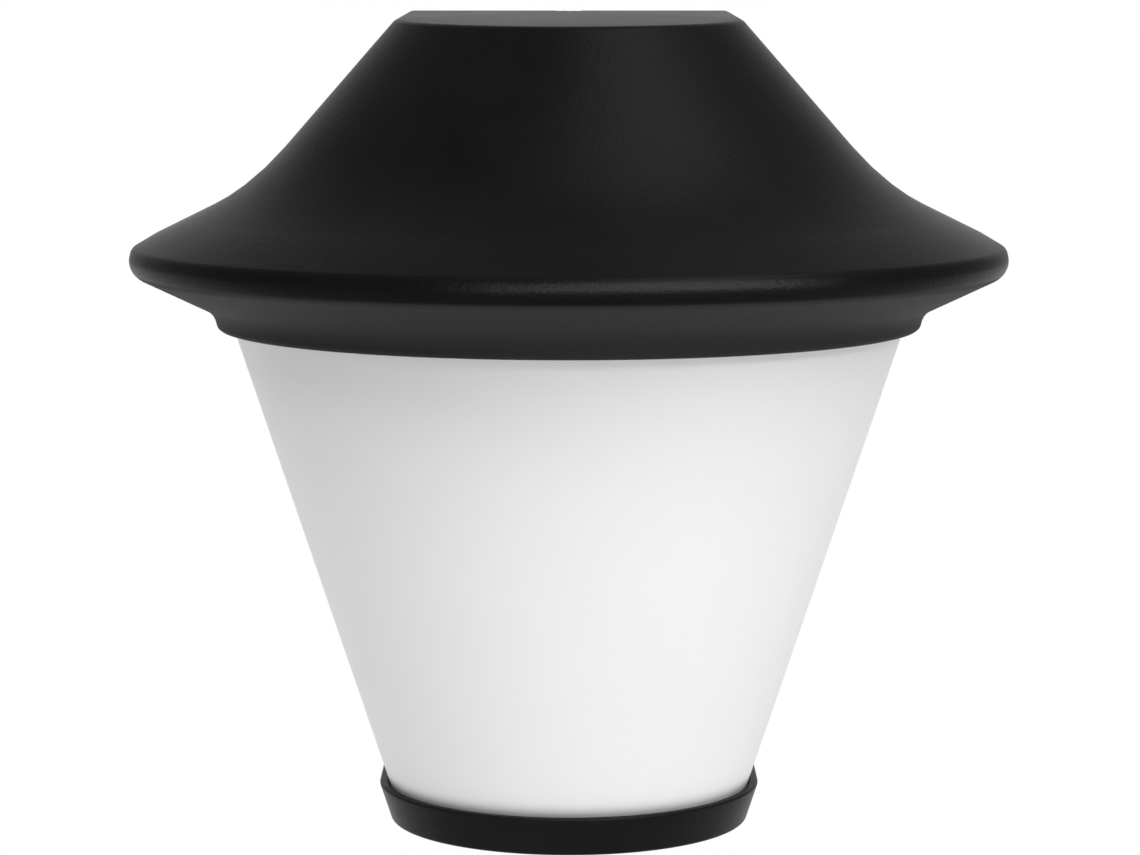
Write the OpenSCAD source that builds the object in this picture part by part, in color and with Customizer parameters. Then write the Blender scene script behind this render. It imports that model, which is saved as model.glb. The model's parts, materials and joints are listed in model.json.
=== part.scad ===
// Outdoor wall light: a half lantern with a flared black hood, a tapered opal shade and a foot cup.
// Heights are measured up from the underside of the foot cup. The wall is the plane y = 0 and the
// front faces -y. Every finished piece is then moved so that the wall fixing is the origin.

/* [Overall] */
// Distance from the wall to the axis of the round front
axis_y = 50; // [44:1:60]
// Distance of the wall fixing below the back edge of the roof
fixing_down = 44.1; // [42:0.1:47]
// Thickness of the foam pad against the wall
pad_t = 2; // [1:0.5:3]

/* [Shade] */
// Height of the opal shade
shade_h = 137; // [124:1:150]
// Half the width of the shade at its top
spigot_half = 89.3; // [84:0.1:96]
// Height of the upright spigot at its top
spigot_h = 6.7; // [5:0.1:9]
// Thickness of the shade
shade_wall = 2.5; // [2:0.1:3.2]
// Taper below the spigot, as half width lost for each millimetre down
taper = 0.33; // [0.3:0.005:0.36]
// Gap between the back edges of the shade and the wall plate
shade_gap = 0.3; // [0.2:0.05:0.6]

/* [Hood] */
// Thickness of the cast hood
hood_wall = 2.4; // [1.8:0.1:3]
// Gap between the spigot and the lower edge of the collar
collar_gap = 1.35; // [1:0.05:2]
// How far the collar hangs below the spigot
collar_lap = 1.5; // [0.5:0.1:3]
// Draft of the collar from upright, in degrees
collar_draft = 12; // [8:0.5:14]
// Radius between the underside and the collar
collar_r = 6; // [3:0.5:7]
// Slope of the underside, in degrees
under_lean = 25.4; // [24:0.2:27]
// How far the lip stands out past the lower edge of the collar
lip_reach = 23; // [20:0.5:27]
// Height of the middle of the lip above the lower edge of the collar
lip_rise = 17.9; // [16.5:0.1:19.5]
// Radius of the round lip
lip_r = 4.7; // [4:0.1:5.3]
// Slope of the outer edge of the brim below level, in degrees
edge_lean = 43.8; // [40:0.2:50]
// Width of that steeper edge, measured level
edge_w = 3.6; // [3:0.1:4.2]
// Slope of the brim below level, in degrees
brim_lean = 22.7; // [20:0.2:26]
// Radius of the hollow sweep between the brim and the sides
sweep_r = 62; // [40:1:70]
// Lean of the sides from upright, in degrees
side_lean = 41.2; // [38:0.2:44]
// Distance of the roof's side edges in from the spigot, level with the axis
roof_in = 43.8; // [40:0.1:47]
// Height of the back edge of the roof above the middle of the lip
roof_rise = 65.4; // [60:0.1:71]
// Fall of the roof towards the front, in degrees
roof_fall = 2.06; // [1:0.02:3]

/* [Foot cup] */
// Thickness of the floor of the cup
cup_floor = 2.5; // [2:0.1:3]
// Height of the rim of the cup
cup_h = 10.4; // [9:0.1:12]
// Thickness of the side of the cup
cup_wall = 2.5; // [2:0.1:3.5]
// Slack between the cup and the shade
cup_slack = 0.25; // [0.15:0.05:0.4]
// Radius of the lower edge of the cup
cup_foot_r = 1.3; // [0.5:0.1:2]
// Radius of the rim of the cup
cup_rim_r = 0.8; // [0.3:0.1:0.9]
// Thickness of the rubber strip under the shade
strip_t = 1.5; // [1:0.1:1.8]
// Width of the rubber strip
strip_w = 4; // [3:0.5:6]

/* [Wall plate] */
// Thickness of the pressed steel
plate_t = 1.5; // [1.2:0.1:2]
// Slack between the plate and the inside of the hood
plate_slack = 0.8; // [0.5:0.1:1.2]
// How far the plate stays inside the outline of the shade
plate_inset = 0.6; // [0.4:0.1:1]
// Distance between the two fixing slots
slot_pitch = 60; // [54:1:66]
// Length of each slot, end to end
slot_len = 12; // [8:0.5:14]
// Width of each slot
slot_w = 5; // [4:0.1:6]
// Height of the cable hole above the fixing
cable_up = 14; // [12.5:0.5:15.5]
// Radius of the cable hole
cable_r = 8; // [7:0.5:9]
// Width of the tongue that locates the hood
tongue_w = 4; // [3:0.1:5]
// How far the tongue stands above the roof
tongue_up = 0.4; // [0.2:0.1:1]
// Slack on each side of the tongue
tongue_slack = 1.5; // [0.8:0.1:2]
// Height of the side lugs
lug_h = 14; // [12:0.5:16]
// Distance of the hood screws below the back edge of the roof
lock_down = 24.1; // [22:0.1:26.5]
// Distance of the hood screws from the wall
lock_y = 13; // [12:0.5:15]
// Radius of the hood screws
lock_r = 2; // [1.6:0.1:2.4]
// Width of the foot tab
tab_w = 26; // [20:1:32]

/* [Tray and seal] */
// Thickness of the reflector tray
tray_t = 1.2; // [1:0.1:1.6]
// Thickness of the seal between the shade and the tray
seal_t = 2; // [1.5:0.1:2.4]
// Overlap of the seal on each side of the spigot
seal_lap = 1.2; // [0.8:0.1:1.4]
// How far the tray stands out past the seal
tray_rim = 2; // [1:0.1:2.4]
// Distance of the tray screws in from the edge of the spigot
post_inset = 19.3; // [17:0.1:22]
// Radius of the cast posts
post_r = 4; // [3.6:0.1:5]

/* [Lampholder] */
// Room between the arm and the roof above it
arm_room = 6.4; // [5.5:0.1:7.5]
// Width of the arm
arm_w = 24; // [20:1:28]
// Thickness of the arm
arm_t = 2; // [1.5:0.1:2.2]
// Radius of the threaded tube
tube_r = 5; // [4.5:0.1:5.5]
// Radius of the lampholder
holder_r = 20; // [18.5:0.5:22]
// Height of the cap of the lampholder
holder_cap_h = 17.5; // [16:0.5:20]
// Height of the sleeve of the lampholder
sleeve_h = 44; // [40:0.5:48]
// Slack around the lampholder in the tray
tray_slack = 2.5; // [1.5:0.1:4]

/* [Bulb] */
// Radius of the screw cap of the bulb
cap_r = 13.05; // [12:0.05:13.5]
// Clearance of the screw cap in the screw shell
shell_gap = 0.3; // [0.2:0.05:0.5]
// Length of the screw cap
cap_len = 27; // [24:0.5:30]
// Overall length of the bulb
bulb_len = 107; // [97:1:117]
// Largest radius of the bulb
bulb_r = 30; // [28:0.5:33]

/* [Foot screw] */
// Radius of the thread of the foot screw
screw_r = 3; // [2.5:0.1:3.5]
// Radius of the knurled head
head_r = 8; // [7:0.5:9]
// Height of the knurled head
head_h = 6; // [5:0.5:8]
// Distance of the foot screw behind the axis
screw_back = 2; // [0:0.5:6]

/* [Terminals] */
// Width of one pole of the terminal block
pole_w = 9; // [8:0.5:10]
// Distance of the foot of the terminal block below the fixing
block_down = 16; // [15:0.5:18]
// Radius of a lead, over its insulation
lead_r = 1.2; // [1:0.1:1.3]

/* [Hidden] */
$fn = 72;
// Overshoot of every cutting tool
over = 1;
// Reach of a half space, larger than the light
far = 400;
// Gap between flat faces on bodies that part
seat_gap = 0.3;
// Running clearance of a thread that turns
thread_gap = 0.05;
// Clearance of a screw in a plain hole
hole_gap = 0.3;
// Steps of the small, lip and sweep roundings
steps_small = 6;
steps_lip = 12;
steps_sweep = 10;

// Stack of heights, from the foot cup up to the roof
shade_z = cup_floor + strip_t;
spigot_z = shade_z + shade_h;
taper_z = spigot_z - spigot_h;
collar_z = taper_z - collar_lap;
lip_z = collar_z + lip_rise;
roof_z = lip_z + roof_rise;
fixing_z = roof_z - fixing_down;
seal_z = spigot_z;
tray_z = seal_z + seal_t;
// Half widths, from the shade out to the lip
collar_half = spigot_half + collar_gap + hood_wall / cos(collar_draft);
lip_half = collar_half + lip_reach;
tray_half = spigot_half + seal_lap + tray_rim;
roof_half = spigot_half - roof_in;
post_ring = spigot_half - post_inset;
// Depths, from the wall forward
plate_y = pad_t + plate_t;
shade_y = plate_y + shade_gap;
screw_y = axis_y - screw_back;

// Plane geometry
function unit(v) = v / norm(v);
function left(v) = [-v[1], v[0]];
function heading(down) = [cos(down), -sin(down)];
// Point where the line through p along u meets the line through q along v
function meet(p, u, q, v) = p + u * cross(q - p, v) / cross(u, v);
// Corners of an open path after every side has moved by d to its left
function shifted(path, d) =
    let (last = len(path) - 1)
    [for (i = [0:last])
        let (a = unit(path[max(i, 1)] - path[max(i, 1) - 1]))
        let (b = unit(path[min(i + 1, last)] - path[min(i + 1, last) - 1]))
        i == 0 || i == last
            ? path[i] + d * left(a)
            : meet(path[i] + d * left(a), a, path[i] + d * left(b), b)];
// Round stretch that replaces the corner q between p and s
function corner(p, q, s, r, steps) =
    let (a = unit(p - q), b = unit(s - q))
    let (half = acos(a * b) / 2)
    let (c = q + unit(a + b) * r / sin(half))
    let (from = q + a * r / tan(half) - c, to = q + b * r / tan(half) - c)
    let (start = atan2(from[1], from[0]), turn = atan2(cross(from, to), from * to))
    [for (k = [0:steps]) c + r * [cos(start + turn * k / steps), sin(start + turn * k / steps)]];
// Open path with its inner corners rounded
function rounded(path, radii, steps) = [
    path[0],
    for (i = [1:len(path) - 2])
        each corner(path[i - 1], path[i], path[i + 1], radii[i - 1], steps[i - 1]),
    path[len(path) - 1]
];

// Outline of the hood, from above the roof down to the collar
lip_mid = [lip_half - lip_r, lip_z];
edge_dir = heading(edge_lean);
under_dir = -[cos(under_lean), sin(under_lean)];
collar_dir = -[sin(collar_draft), cos(collar_draft)];
side_dir = [sin(side_lean), -cos(side_lean)];
edge_at = lip_mid + lip_r * left(edge_dir);
under_at = lip_mid + lip_r * left(under_dir);
brim_corner = edge_at + edge_dir * (lip_half - edge_w - edge_at[0]) / edge_dir[0];
axis_roof_z = roof_z - axis_y * tan(roof_fall);
arm_z = axis_roof_z - hood_wall / cos(roof_fall) - arm_room - arm_t;
// The outline starts this far above the roof, measured along the side
roof_over = 10;
side_top = [roof_half, axis_roof_z] - side_dir * roof_over;
side_foot = meet(side_top, side_dir, brim_corner, heading(brim_lean));
lip_corner = meet(edge_at, edge_dir, under_at, under_dir);
collar_foot = [collar_half, collar_z];
collar_top = meet(under_at, under_dir, collar_foot, collar_dir);
hood_path = [side_top, side_foot, brim_corner, lip_corner, collar_top, collar_foot];
// The sweep takes at most this share of the brim
sweep_share = 0.9;
sweep_fit = sweep_share * norm(brim_corner - side_foot) / tan((90 - side_lean - brim_lean) / 2);
hood_radii = [min(sweep_r, sweep_fit), lip_r, lip_r, collar_r];
hood_steps = [steps_sweep, steps_small, steps_lip, steps_small];
// Inside of the same outline: hollow corners grow by the wall and full corners lose it
corner_signs = [1, -1, -1, 1];
inner_path = shifted(hood_path, -hood_wall);
inner_radii = hood_radii + hood_wall * corner_signs;
// Half the width of the hood's outside at a height on its straight sides
function side_half(z) = roof_half + (axis_roof_z - z) * tan(side_lean);
// Half the width of the shade's outside at a height
function shade_half(z) = spigot_half - max(0, taper_z - z) * taper;

// Moves the finished piece so that the wall fixing is the origin
module from_foot() {
    translate([0, 0, -fixing_z]) children();
}
// Round front and straight sides swept by one half outline, drawn at its distance from the middle
module u_sweep(back) {
    translate([0, -axis_y, 0]) rotate([0, 0, 180]) rotate_extrude(angle = 180) children();
    translate([0, -back, 0]) rotate([90, 0, 0]) linear_extrude(axis_y - back) {
        children();
        mirror([1, 0, 0]) children();
    }
}
// Everything below the falling roof, lowered by down
module below_roof(down) {
    translate([0, 0, roof_z - down]) rotate([roof_fall, 0, 0])
        translate([-far / 2, -far, -far]) cube([far, 2 * far, far]);
}
// Round bar along y from the first depth to the second, both in front of the wall
module bar_y(r, from, to) {
    translate([0, -from, 0]) rotate([90, 0, 0]) cylinder(r = r, h = to - from);
}
// Round bar along x
module bar_x(r, from, to) {
    translate([from, 0, 0]) rotate([0, 90, 0]) cylinder(r = r, h = to - from);
}
// Ring about the z axis
module ring(r, bore, h) {
    difference() {
        cylinder(r = r, h = h);
        translate([0, 0, -over]) cylinder(r = bore, h = h + 2 * over);
    }
}
module on_axis() {
    translate([0, -axis_y, 0]) children();
}
module both_sides() {
    children();
    mirror([1, 0, 0]) children();
}

// Wall plate: a panel behind the shade and inside the hood, whose foot tab and side lugs carry the rest
clear_path = shifted(hood_path, -(hood_wall + plate_slack));
ceiling_z = roof_z - plate_y * tan(roof_fall) - hood_wall / cos(roof_fall);
plate_foot_up = 0.5;
plate_foot_z = cup_floor + plate_foot_up;
plate_top_z = ceiling_z - seat_gap;
plate_brim_z = lip_z + lip_r;
plate_corner = meet([0, plate_top_z], [1, 0], clear_path[1], side_dir);
tab_up = 2.5;
tab_z = cup_floor + tab_up;
tab_end_y = screw_y + tab_w / 2;
// Side lugs, whose open notches take the tips of the hood screws
lock_z = roof_z - lock_down;
lock_sink = 5;
lock_seat_x = side_half(lock_z) - lock_sink;
lug_in = 17;
lug_x = lock_seat_x - lug_in;
lock_head_out = 1.8;
lock_head_r = lock_r + lock_head_out;
lock_head_h = 2.6;
lock_tip = 1.5;
lock_boss_wall = 4.5;
boss_r = lock_r + lock_boss_wall;
// Earth terminal
earth_x = -36;
earth_down = 11;
earth_z = fixing_z - earth_down;
earth_r = 2;
earth_boss_r = 4.5;
earth_boss_h = 2;
earth_head_out = 1.6;
earth_head_h = 2.4;
washer_t = 1;
washer_out = 2.8;

// Half outline of the plate
plate_half_path = [
    [shade_half(plate_foot_z) - plate_inset, plate_foot_z],
    [spigot_half - plate_inset, taper_z],
    [spigot_half - plate_inset, plate_brim_z],
    clear_path[1],
    plate_corner
];
module plate_panel(from, to) {
    translate([0, -from, 0]) rotate([90, 0, 0]) linear_extrude(to - from)
        polygon(concat([[0, plate_foot_z]], plate_half_path, [[0, plate_top_z]]));
}
// Two level slots, each of two round ends and the block between them
module fixing_slots(from, to) {
    end_x = (slot_len - slot_w) / 2;
    both_sides() translate([slot_pitch / 2, 0, fixing_z]) {
        for (x = [-end_x, end_x]) translate([x, 0, 0]) bar_y(slot_w / 2, from, to);
        translate([-end_x, -to, -slot_w / 2]) cube([2 * end_x, to - from, slot_w]);
    }
}
// Half area under an outline of the hood, down to the height low
module hood_area(path, radii, low) {
    last = path[len(path) - 1];
    tail = low < last[1] ? [[last[0], low]] : [];
    polygon(concat([[0, path[0][1]]], rounded(path, radii, hood_steps), tail, [[0, min(low, last[1])]]));
}
// Foam pad, wide enough to seal the back edge of the hood
module wall_pad() color("#3a3a3a") from_foot() {
    pad_inset = 0.6;
    pad_path = shifted(hood_path, -pad_inset);
    pad_hole_gap = 0.7;
    difference() {
        union() {
            intersection() {
                both_sides() rotate([90, 0, 0]) linear_extrude(pad_t)
                    hood_area(pad_path, hood_radii + pad_inset * corner_signs, collar_z + pad_inset);
                below_roof(pad_inset);
            }
            both_sides() plate_panel(0, pad_t);
        }
        fixing_slots(-over, pad_t + over);
        translate([0, 0, fixing_z + cable_up])
            bar_y(cable_r + grommet_lip + pad_hole_gap, -over, pad_t + over);
    }
}
module side_lug() {
    difference() {
        translate([lug_x, -lock_y - boss_r, lock_z - lug_h / 2])
            cube([plate_t, lock_y + boss_r - pad_t, lug_h]);
        translate([0, 0, lock_z]) {
            translate([0, -lock_y, 0]) bar_x(lock_r + hole_gap, lug_x - over, lug_x + plate_t + over);
            translate([lug_x - over, -lock_y - lock_r - hole_gap, 0])
                cube([plate_t + 2 * over, 2 * (lock_r + hole_gap), lug_h]);
        }
    }
}
module wall_plate() color("#e8e8e6") from_foot() {
    difference() {
        union() {
            both_sides() plate_panel(pad_t, plate_y);
            both_sides() side_lug();
            translate([-tongue_w / 2, -plate_y, plate_top_z - over])
                cube([tongue_w, plate_t, roof_z + tongue_up - plate_top_z + over]);
            translate([-tab_w / 2, -tab_end_y, tab_z]) cube([tab_w, tab_end_y - pad_t, plate_t]);
            translate([earth_x, 0, earth_z]) bar_y(earth_boss_r, pad_t, plate_y + earth_boss_h);
        }
        fixing_slots(pad_t - over, plate_y + over);
        translate([0, 0, fixing_z + cable_up]) bar_y(cable_r, pad_t - over, plate_y + over);
        translate([0, -screw_y, tab_z - over]) cylinder(r = screw_r + hole_gap, h = plate_t + 2 * over);
        translate([earth_x, 0, earth_z]) bar_y(earth_r, pad_t - over, plate_y + earth_boss_h + over);
        at_rivets() bar_y(rivet_r, pad_t - over, plate_y + over);
        at_block_screws() bar_y(block_screw_r, pad_t - over, plate_y + over);
    }
}
// Rubber grommet with a groove for the plate and a short nose
grommet_bore = 3.5;
grommet_lip = 1.8;
grommet_lip_t = 1.5;
grommet_nose = 4;
grommet_nose_wall = 1.5;
module cable_grommet() color("#222222") from_foot() translate([0, 0, fixing_z + cable_up]) {
    difference() {
        union() {
            bar_y(cable_r + grommet_lip, pad_t - grommet_lip_t, pad_t);
            bar_y(cable_r - thread_gap, pad_t, plate_y);
            bar_y(cable_r + grommet_lip, plate_y, plate_y + grommet_lip_t);
            translate([0, -plate_y - grommet_lip_t, 0]) rotate([90, 0, 0]) cylinder(
                r1 = cable_r - grommet_nose_wall, r2 = grommet_bore + grommet_nose_wall, h = grommet_nose
            );
        }
        bar_y(grommet_bore, -over, plate_y + grommet_lip_t + grommet_nose + over);
    }
}

// Terminal block with three poles: earth, live and neutral
poles = 3;
block_h = 12;
block_deep = 14;
block_x = -2 * pole_w;
block_z = fixing_z - block_down;
block_mid_z = block_z + block_h / 2;
sleeve_r = 2.9;
sleeve_bore = 1.6;
sleeve_in = 1;
// Distance of the leads in front of the plate
lead_out = 3.2;
lead_y = plate_y + lead_out;
clamp_r = 1.4;
clamp_step = 5.4;
clamp_gap = 0.1;
clamp_in = 1;
block_screw_r = 1.3;
block_head_out = 1;
block_head_h = 1.5;
function pole_x(i) = block_x + (i + 0.5) * pole_w;
// Places for the two clamping screws of every pole
module at_clamps() {
    for (i = [0:poles - 1], z = [-0.5, 0.5] * clamp_step)
        translate([pole_x(i), 0, block_mid_z + z]) children();
}
// Places for the two screws that hold the block, between its poles
module at_block_screws() {
    for (i = [1:poles - 1]) translate([block_x + i * pole_w, 0, block_mid_z]) children();
}
module terminal_block() color("#f2f2ee") from_foot() {
    difference() {
        translate([block_x, -plate_y - block_deep, block_z]) cube([poles * pole_w, block_deep, block_h]);
        for (i = [0:poles - 1]) translate([pole_x(i), -lead_y, block_z - over])
            cylinder(r = sleeve_r + thread_gap, h = block_h + 2 * over);
        at_clamps() bar_y(clamp_r + hole_gap, lead_y, plate_y + block_deep + over);
        at_block_screws() bar_y(block_screw_r + thread_gap, plate_y - over, plate_y + block_deep + over);
    }
}
module terminal_sleeves() color("#c8a24a") from_foot() {
    difference() {
        for (i = [0:poles - 1]) translate([pole_x(i), -lead_y, block_z + sleeve_in])
            ring(sleeve_r, sleeve_bore, block_h - 2 * sleeve_in);
        at_clamps() bar_y(clamp_r + thread_gap, lead_y, lead_y + sleeve_r + over);
    }
}
module terminal_screws() color("#b8bcc0") from_foot() at_clamps() {
    bar_y(clamp_r, lead_y + lead_r + clamp_gap, plate_y + block_deep - clamp_in);
}
module block_screws() color("#b8bcc0") from_foot() at_block_screws() {
    bar_y(block_screw_r - thread_gap, pad_t, plate_y + block_deep);
    bar_y(block_screw_r + block_head_out, plate_y + block_deep, plate_y + block_deep + block_head_h);
}
module earth_screw() color("#c8a24a") from_foot() translate([earth_x, 0, earth_z]) {
    seat = lead_y + lead_r + washer_t;
    bar_y(earth_r - thread_gap, pad_t, seat);
    bar_y(earth_r + earth_head_out, seat, seat + earth_head_h);
}
module earth_washer() color("#b8bcc0") from_foot() translate([earth_x, -lead_y - lead_r, earth_z]) {
    rotate([90, 0, 0]) ring(earth_r + washer_out, earth_r + hole_gap, washer_t);
}

// Leads of round wire: straight runs joined by quarter bends
lead_bend = 5;
lead_start_z = block_mid_z + 1;
lead_in = 4;
lead_down = 10.5;
lead_in_z = arm_z - lead_down;
lead_rise = 2;
lead_past = 3;
module quarter_bend() {
    translate([lead_bend, 0, 0]) rotate([90, 0, 0]) rotate([0, 0, 90])
        rotate_extrude(angle = 90) translate([lead_bend, 0]) circle(r = lead_r);
}
// Each leg is a length and the side to which the bend after it turns
module lead_run(legs, i = 0) {
    cylinder(r = lead_r, h = legs[i][0]);
    if (i < len(legs) - 1)
        translate([0, 0, legs[i][0]]) rotate([0, 0, legs[i][1] < 0 ? 180 : 0]) {
            quarter_bend();
            translate([lead_bend, 0, lead_bend]) rotate([0, 90, 0]) lead_run(legs, i + 1);
        }
}
module holder_lead(x) {
    first = block_z + block_h + lead_rise - lead_start_z;
    level = axis_y - holder_r - lead_y - 3 * lead_bend;
    rise = lead_in_z - (block_z + block_h + lead_rise) - 3 * lead_bend;
    translate([x, -lead_y, lead_start_z]) rotate([0, 0, -90])
        lead_run([[first, 1], [level, -1], [rise, -1], [lead_in, 0]]);
}
module earth_lead() color("#5a8a2a") from_foot() {
    first = block_z + block_h + 2 * lead_rise - lead_start_z;
    level = pole_x(0) - (earth_x + earth_r + lead_r + clamp_gap) - 2 * lead_bend;
    fall = block_z + block_h + 2 * lead_rise - earth_z + lead_past;
    translate([pole_x(0), -lead_y, lead_start_z]) rotate([0, 0, 180])
        lead_run([[first, 1], [level, 1], [fall, 0]]);
}
module live_lead() color("#6b3f22") from_foot() holder_lead(pole_x(1));
module neutral_lead() color("#2a5aa8") from_foot() holder_lead(pole_x(2));

// Arm under the roof, and the lampholder that hangs from it by a threaded tube
arm_over = 16;
flange_h = 6;
rivet_r = 1.6;
rivet_x = 8;
rivet_head_out = 1.2;
rivet_head_h = 1;
tube_in = 2;
tube_wall = 1.2;
tube_end = 1.8;
nut_h = 3;
nut_out = 3;
cap_t = 2.2;
shoulder_w = 7;
shoulder_h = 6.5;
shoulder_t = 1;
sleeve_t = 2.2;
holder_mid_z = arm_z - holder_cap_h;
holder_z = holder_mid_z - sleeve_h;
shell_r = cap_r + shell_gap;
shell_t = 0.5;
shell_out = 1;
insulator_gap = 0.4;
insulator_r = holder_r - sleeve_t - insulator_gap;
insulator_up = 8;
insulator_cover = 6;
insulator_drop = 5;
insulator_ceiling_z = holder_mid_z - insulator_drop - insulator_cover;
module at_rivets() {
    for (x = [-rivet_x, rivet_x]) translate([x, 0, arm_z - flange_h / 2]) children();
}
module holder_arm() color("#d8d8d4") from_foot() difference() {
    union() {
        translate([-arm_w / 2, -axis_y - arm_over, arm_z]) cube([arm_w, axis_y + arm_over - plate_y, arm_t]);
        translate([-arm_w / 2, -plate_y - arm_t, arm_z - flange_h]) cube([arm_w, arm_t, flange_h + arm_t]);
    }
    on_axis() translate([0, 0, arm_z - over]) cylinder(r = tube_r + thread_gap, h = arm_t + 2 * over);
    at_rivets() bar_y(rivet_r, plate_y - over, plate_y + arm_t + over);
}
module arm_rivets() color("#b8bcc0") from_foot() at_rivets() {
    bar_y(rivet_r - thread_gap, pad_t, plate_y + arm_t);
    bar_y(rivet_r + rivet_head_out, plate_y + arm_t, plate_y + arm_t + rivet_head_h);
}
module threaded_tube() color("#c8a24a") from_foot() on_axis() {
    below = cap_t + tube_in;
    translate([0, 0, arm_z - below]) ring(tube_r, tube_r - tube_wall, below + arm_t + nut_h + tube_end);
}
module tube_nut() color("#b8bcc0") from_foot() on_axis() translate([0, 0, arm_z + arm_t]) difference() {
    cylinder(r = tube_r + nut_out, h = nut_h, $fn = 6);
    translate([0, 0, -over]) cylinder(r = tube_r + thread_gap, h = nut_h + 2 * over);
}
module holder_cap() color("#f0efe9") from_foot() difference() {
    inner_r = holder_r - cap_t;
    on_axis() rotate_extrude() polygon([
        [tube_r + thread_gap, arm_z], [holder_r - shoulder_w, arm_z], [holder_r, arm_z - shoulder_h],
        [holder_r, holder_mid_z], [inner_r, holder_mid_z], [inner_r, arm_z - shoulder_h - shoulder_t],
        [holder_r - shoulder_w - shoulder_t, arm_z - cap_t], [tube_r + thread_gap, arm_z - cap_t]
    ]);
    for (i = [1, 2]) translate([pole_x(i), 0, lead_in_z])
        bar_y(lead_r + hole_gap, axis_y - holder_r - over, axis_y - holder_r + cap_t + lead_in);
}
module holder_sleeve() color("#f0efe9") from_foot() on_axis() {
    translate([0, 0, holder_z]) ring(holder_r, holder_r - sleeve_t, sleeve_h);
}
// Ceramic cup that holds the screw shell
module holder_insulator() color("#f7f5ee") from_foot() on_axis() difference() {
    foot_z = holder_z + insulator_up;
    translate([0, 0, foot_z]) cylinder(r = insulator_r, h = insulator_ceiling_z + insulator_cover - foot_z);
    translate([0, 0, foot_z - over])
        cylinder(r = shell_r + shell_t + hole_gap, h = insulator_ceiling_z - foot_z + over);
}
module screw_shell() color("#d8c07a") from_foot() on_axis() {
    foot_z = holder_z + insulator_up - shell_out;
    translate([0, 0, foot_z]) ring(shell_r + shell_t, shell_r, insulator_ceiling_z - shell_out - foot_z);
}
// Sprung contact: a foot under the ceiling and a strip that leans down over the bulb's tip
contact_t = 0.4;
contact_w = 5;
contact_x = 6;
contact_len = 8;
contact_foot = 3.5;
contact_lean = 16;
contact_gap = 0.15;
contact_pivot_z = insulator_ceiling_z - contact_gap - contact_t / 2;
module centre_contact() color("#c8a24a") from_foot() on_axis() translate([contact_x, 0, contact_pivot_z]) {
    translate([0, -contact_w / 2, -contact_t / 2]) cube([contact_foot, contact_w, contact_t]);
    rotate([0, -contact_lean, 0]) translate([-contact_len, -contact_w / 2, -contact_t / 2])
        cube([contact_len + contact_t / 4, contact_w, contact_t]);
}
foot_nut_out = 2.7;
foot_nut_h = 4;
module foot_nut() color("#b8bcc0") from_foot() translate([0, -screw_y, tab_z + plate_t]) difference() {
    cylinder(r = screw_r + foot_nut_out, h = foot_nut_h, $fn = 6);
    translate([0, 0, -over]) cylinder(r = screw_r + thread_gap, h = foot_nut_h + 2 * over);
}

// Hood and what is fixed in it
post_turns = [-80, 0, 80];
post_screw_r = 2;
post_depth = 12;
post_end = 1;
post_head_out = 1.6;
post_head_h = 1.8;
tongue_gap = 1;
module at_posts() {
    for (turn = post_turns) on_axis() rotate([0, 0, turn]) translate([0, -post_ring, 0]) children();
}
module hood() color("#191919") from_foot() difference() {
    intersection() {
        u_sweep(pad_t) hood_area(hood_path, hood_radii, collar_z);
        below_roof(0);
    }
    difference() {
        intersection() {
            u_sweep(pad_t - over) hood_area(inner_path, inner_radii, collar_z - over);
            below_roof(hood_wall);
        }
        at_posts() translate([0, 0, tray_z + tray_t]) cylinder(r = post_r, h = roof_z - tray_z);
        both_sides() translate([0, -lock_y, lock_z]) bar_x(boss_r, lug_x + plate_t + seat_gap, lip_half);
    }
    at_posts() translate([0, 0, tray_z]) cylinder(r = post_screw_r + thread_gap, h = tray_t + post_depth);
    both_sides() translate([0, -lock_y, lock_z]) {
        bar_x(lock_r + thread_gap, lug_x, lip_half);
        bar_x(lock_head_r + hole_gap, lock_seat_x, lip_half);
    }
    translate([-tongue_w / 2 - tongue_slack, -plate_y - tongue_gap, ceiling_z - over])
        cube([tongue_w + 2 * tongue_slack, plate_y + tongue_gap, roof_z]);
}
module hood_screws() color("#8a8d90") from_foot() both_sides() translate([0, -lock_y, lock_z]) {
    bar_x(lock_r, lug_x - lock_tip, lock_seat_x);
    bar_x(lock_head_r, lock_seat_x, lock_seat_x + lock_head_h);
}
module reflector_tray() color("#f4f4f2") from_foot() difference() {
    u_sweep(shade_y) translate([0, tray_z]) square([tray_half, tray_t]);
    on_axis() translate([0, 0, tray_z - over]) cylinder(r = holder_r + tray_slack, h = tray_t + 2 * over);
    at_posts() translate([0, 0, tray_z - over]) cylinder(r = post_screw_r + hole_gap, h = tray_t + 2 * over);
}
module tray_screws() color("#b8bcc0") from_foot() at_posts() {
    translate([0, 0, tray_z]) cylinder(r = post_screw_r, h = tray_t + post_depth - post_end);
    translate([0, 0, tray_z - post_head_h]) cylinder(r = post_screw_r + post_head_out, h = post_head_h);
}
module shade_seal() color("#2a2a2a") from_foot() u_sweep(shade_y)
    translate([spigot_half - shade_wall - seal_lap, seal_z]) square([shade_wall + 2 * seal_lap, seal_t]);

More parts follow.
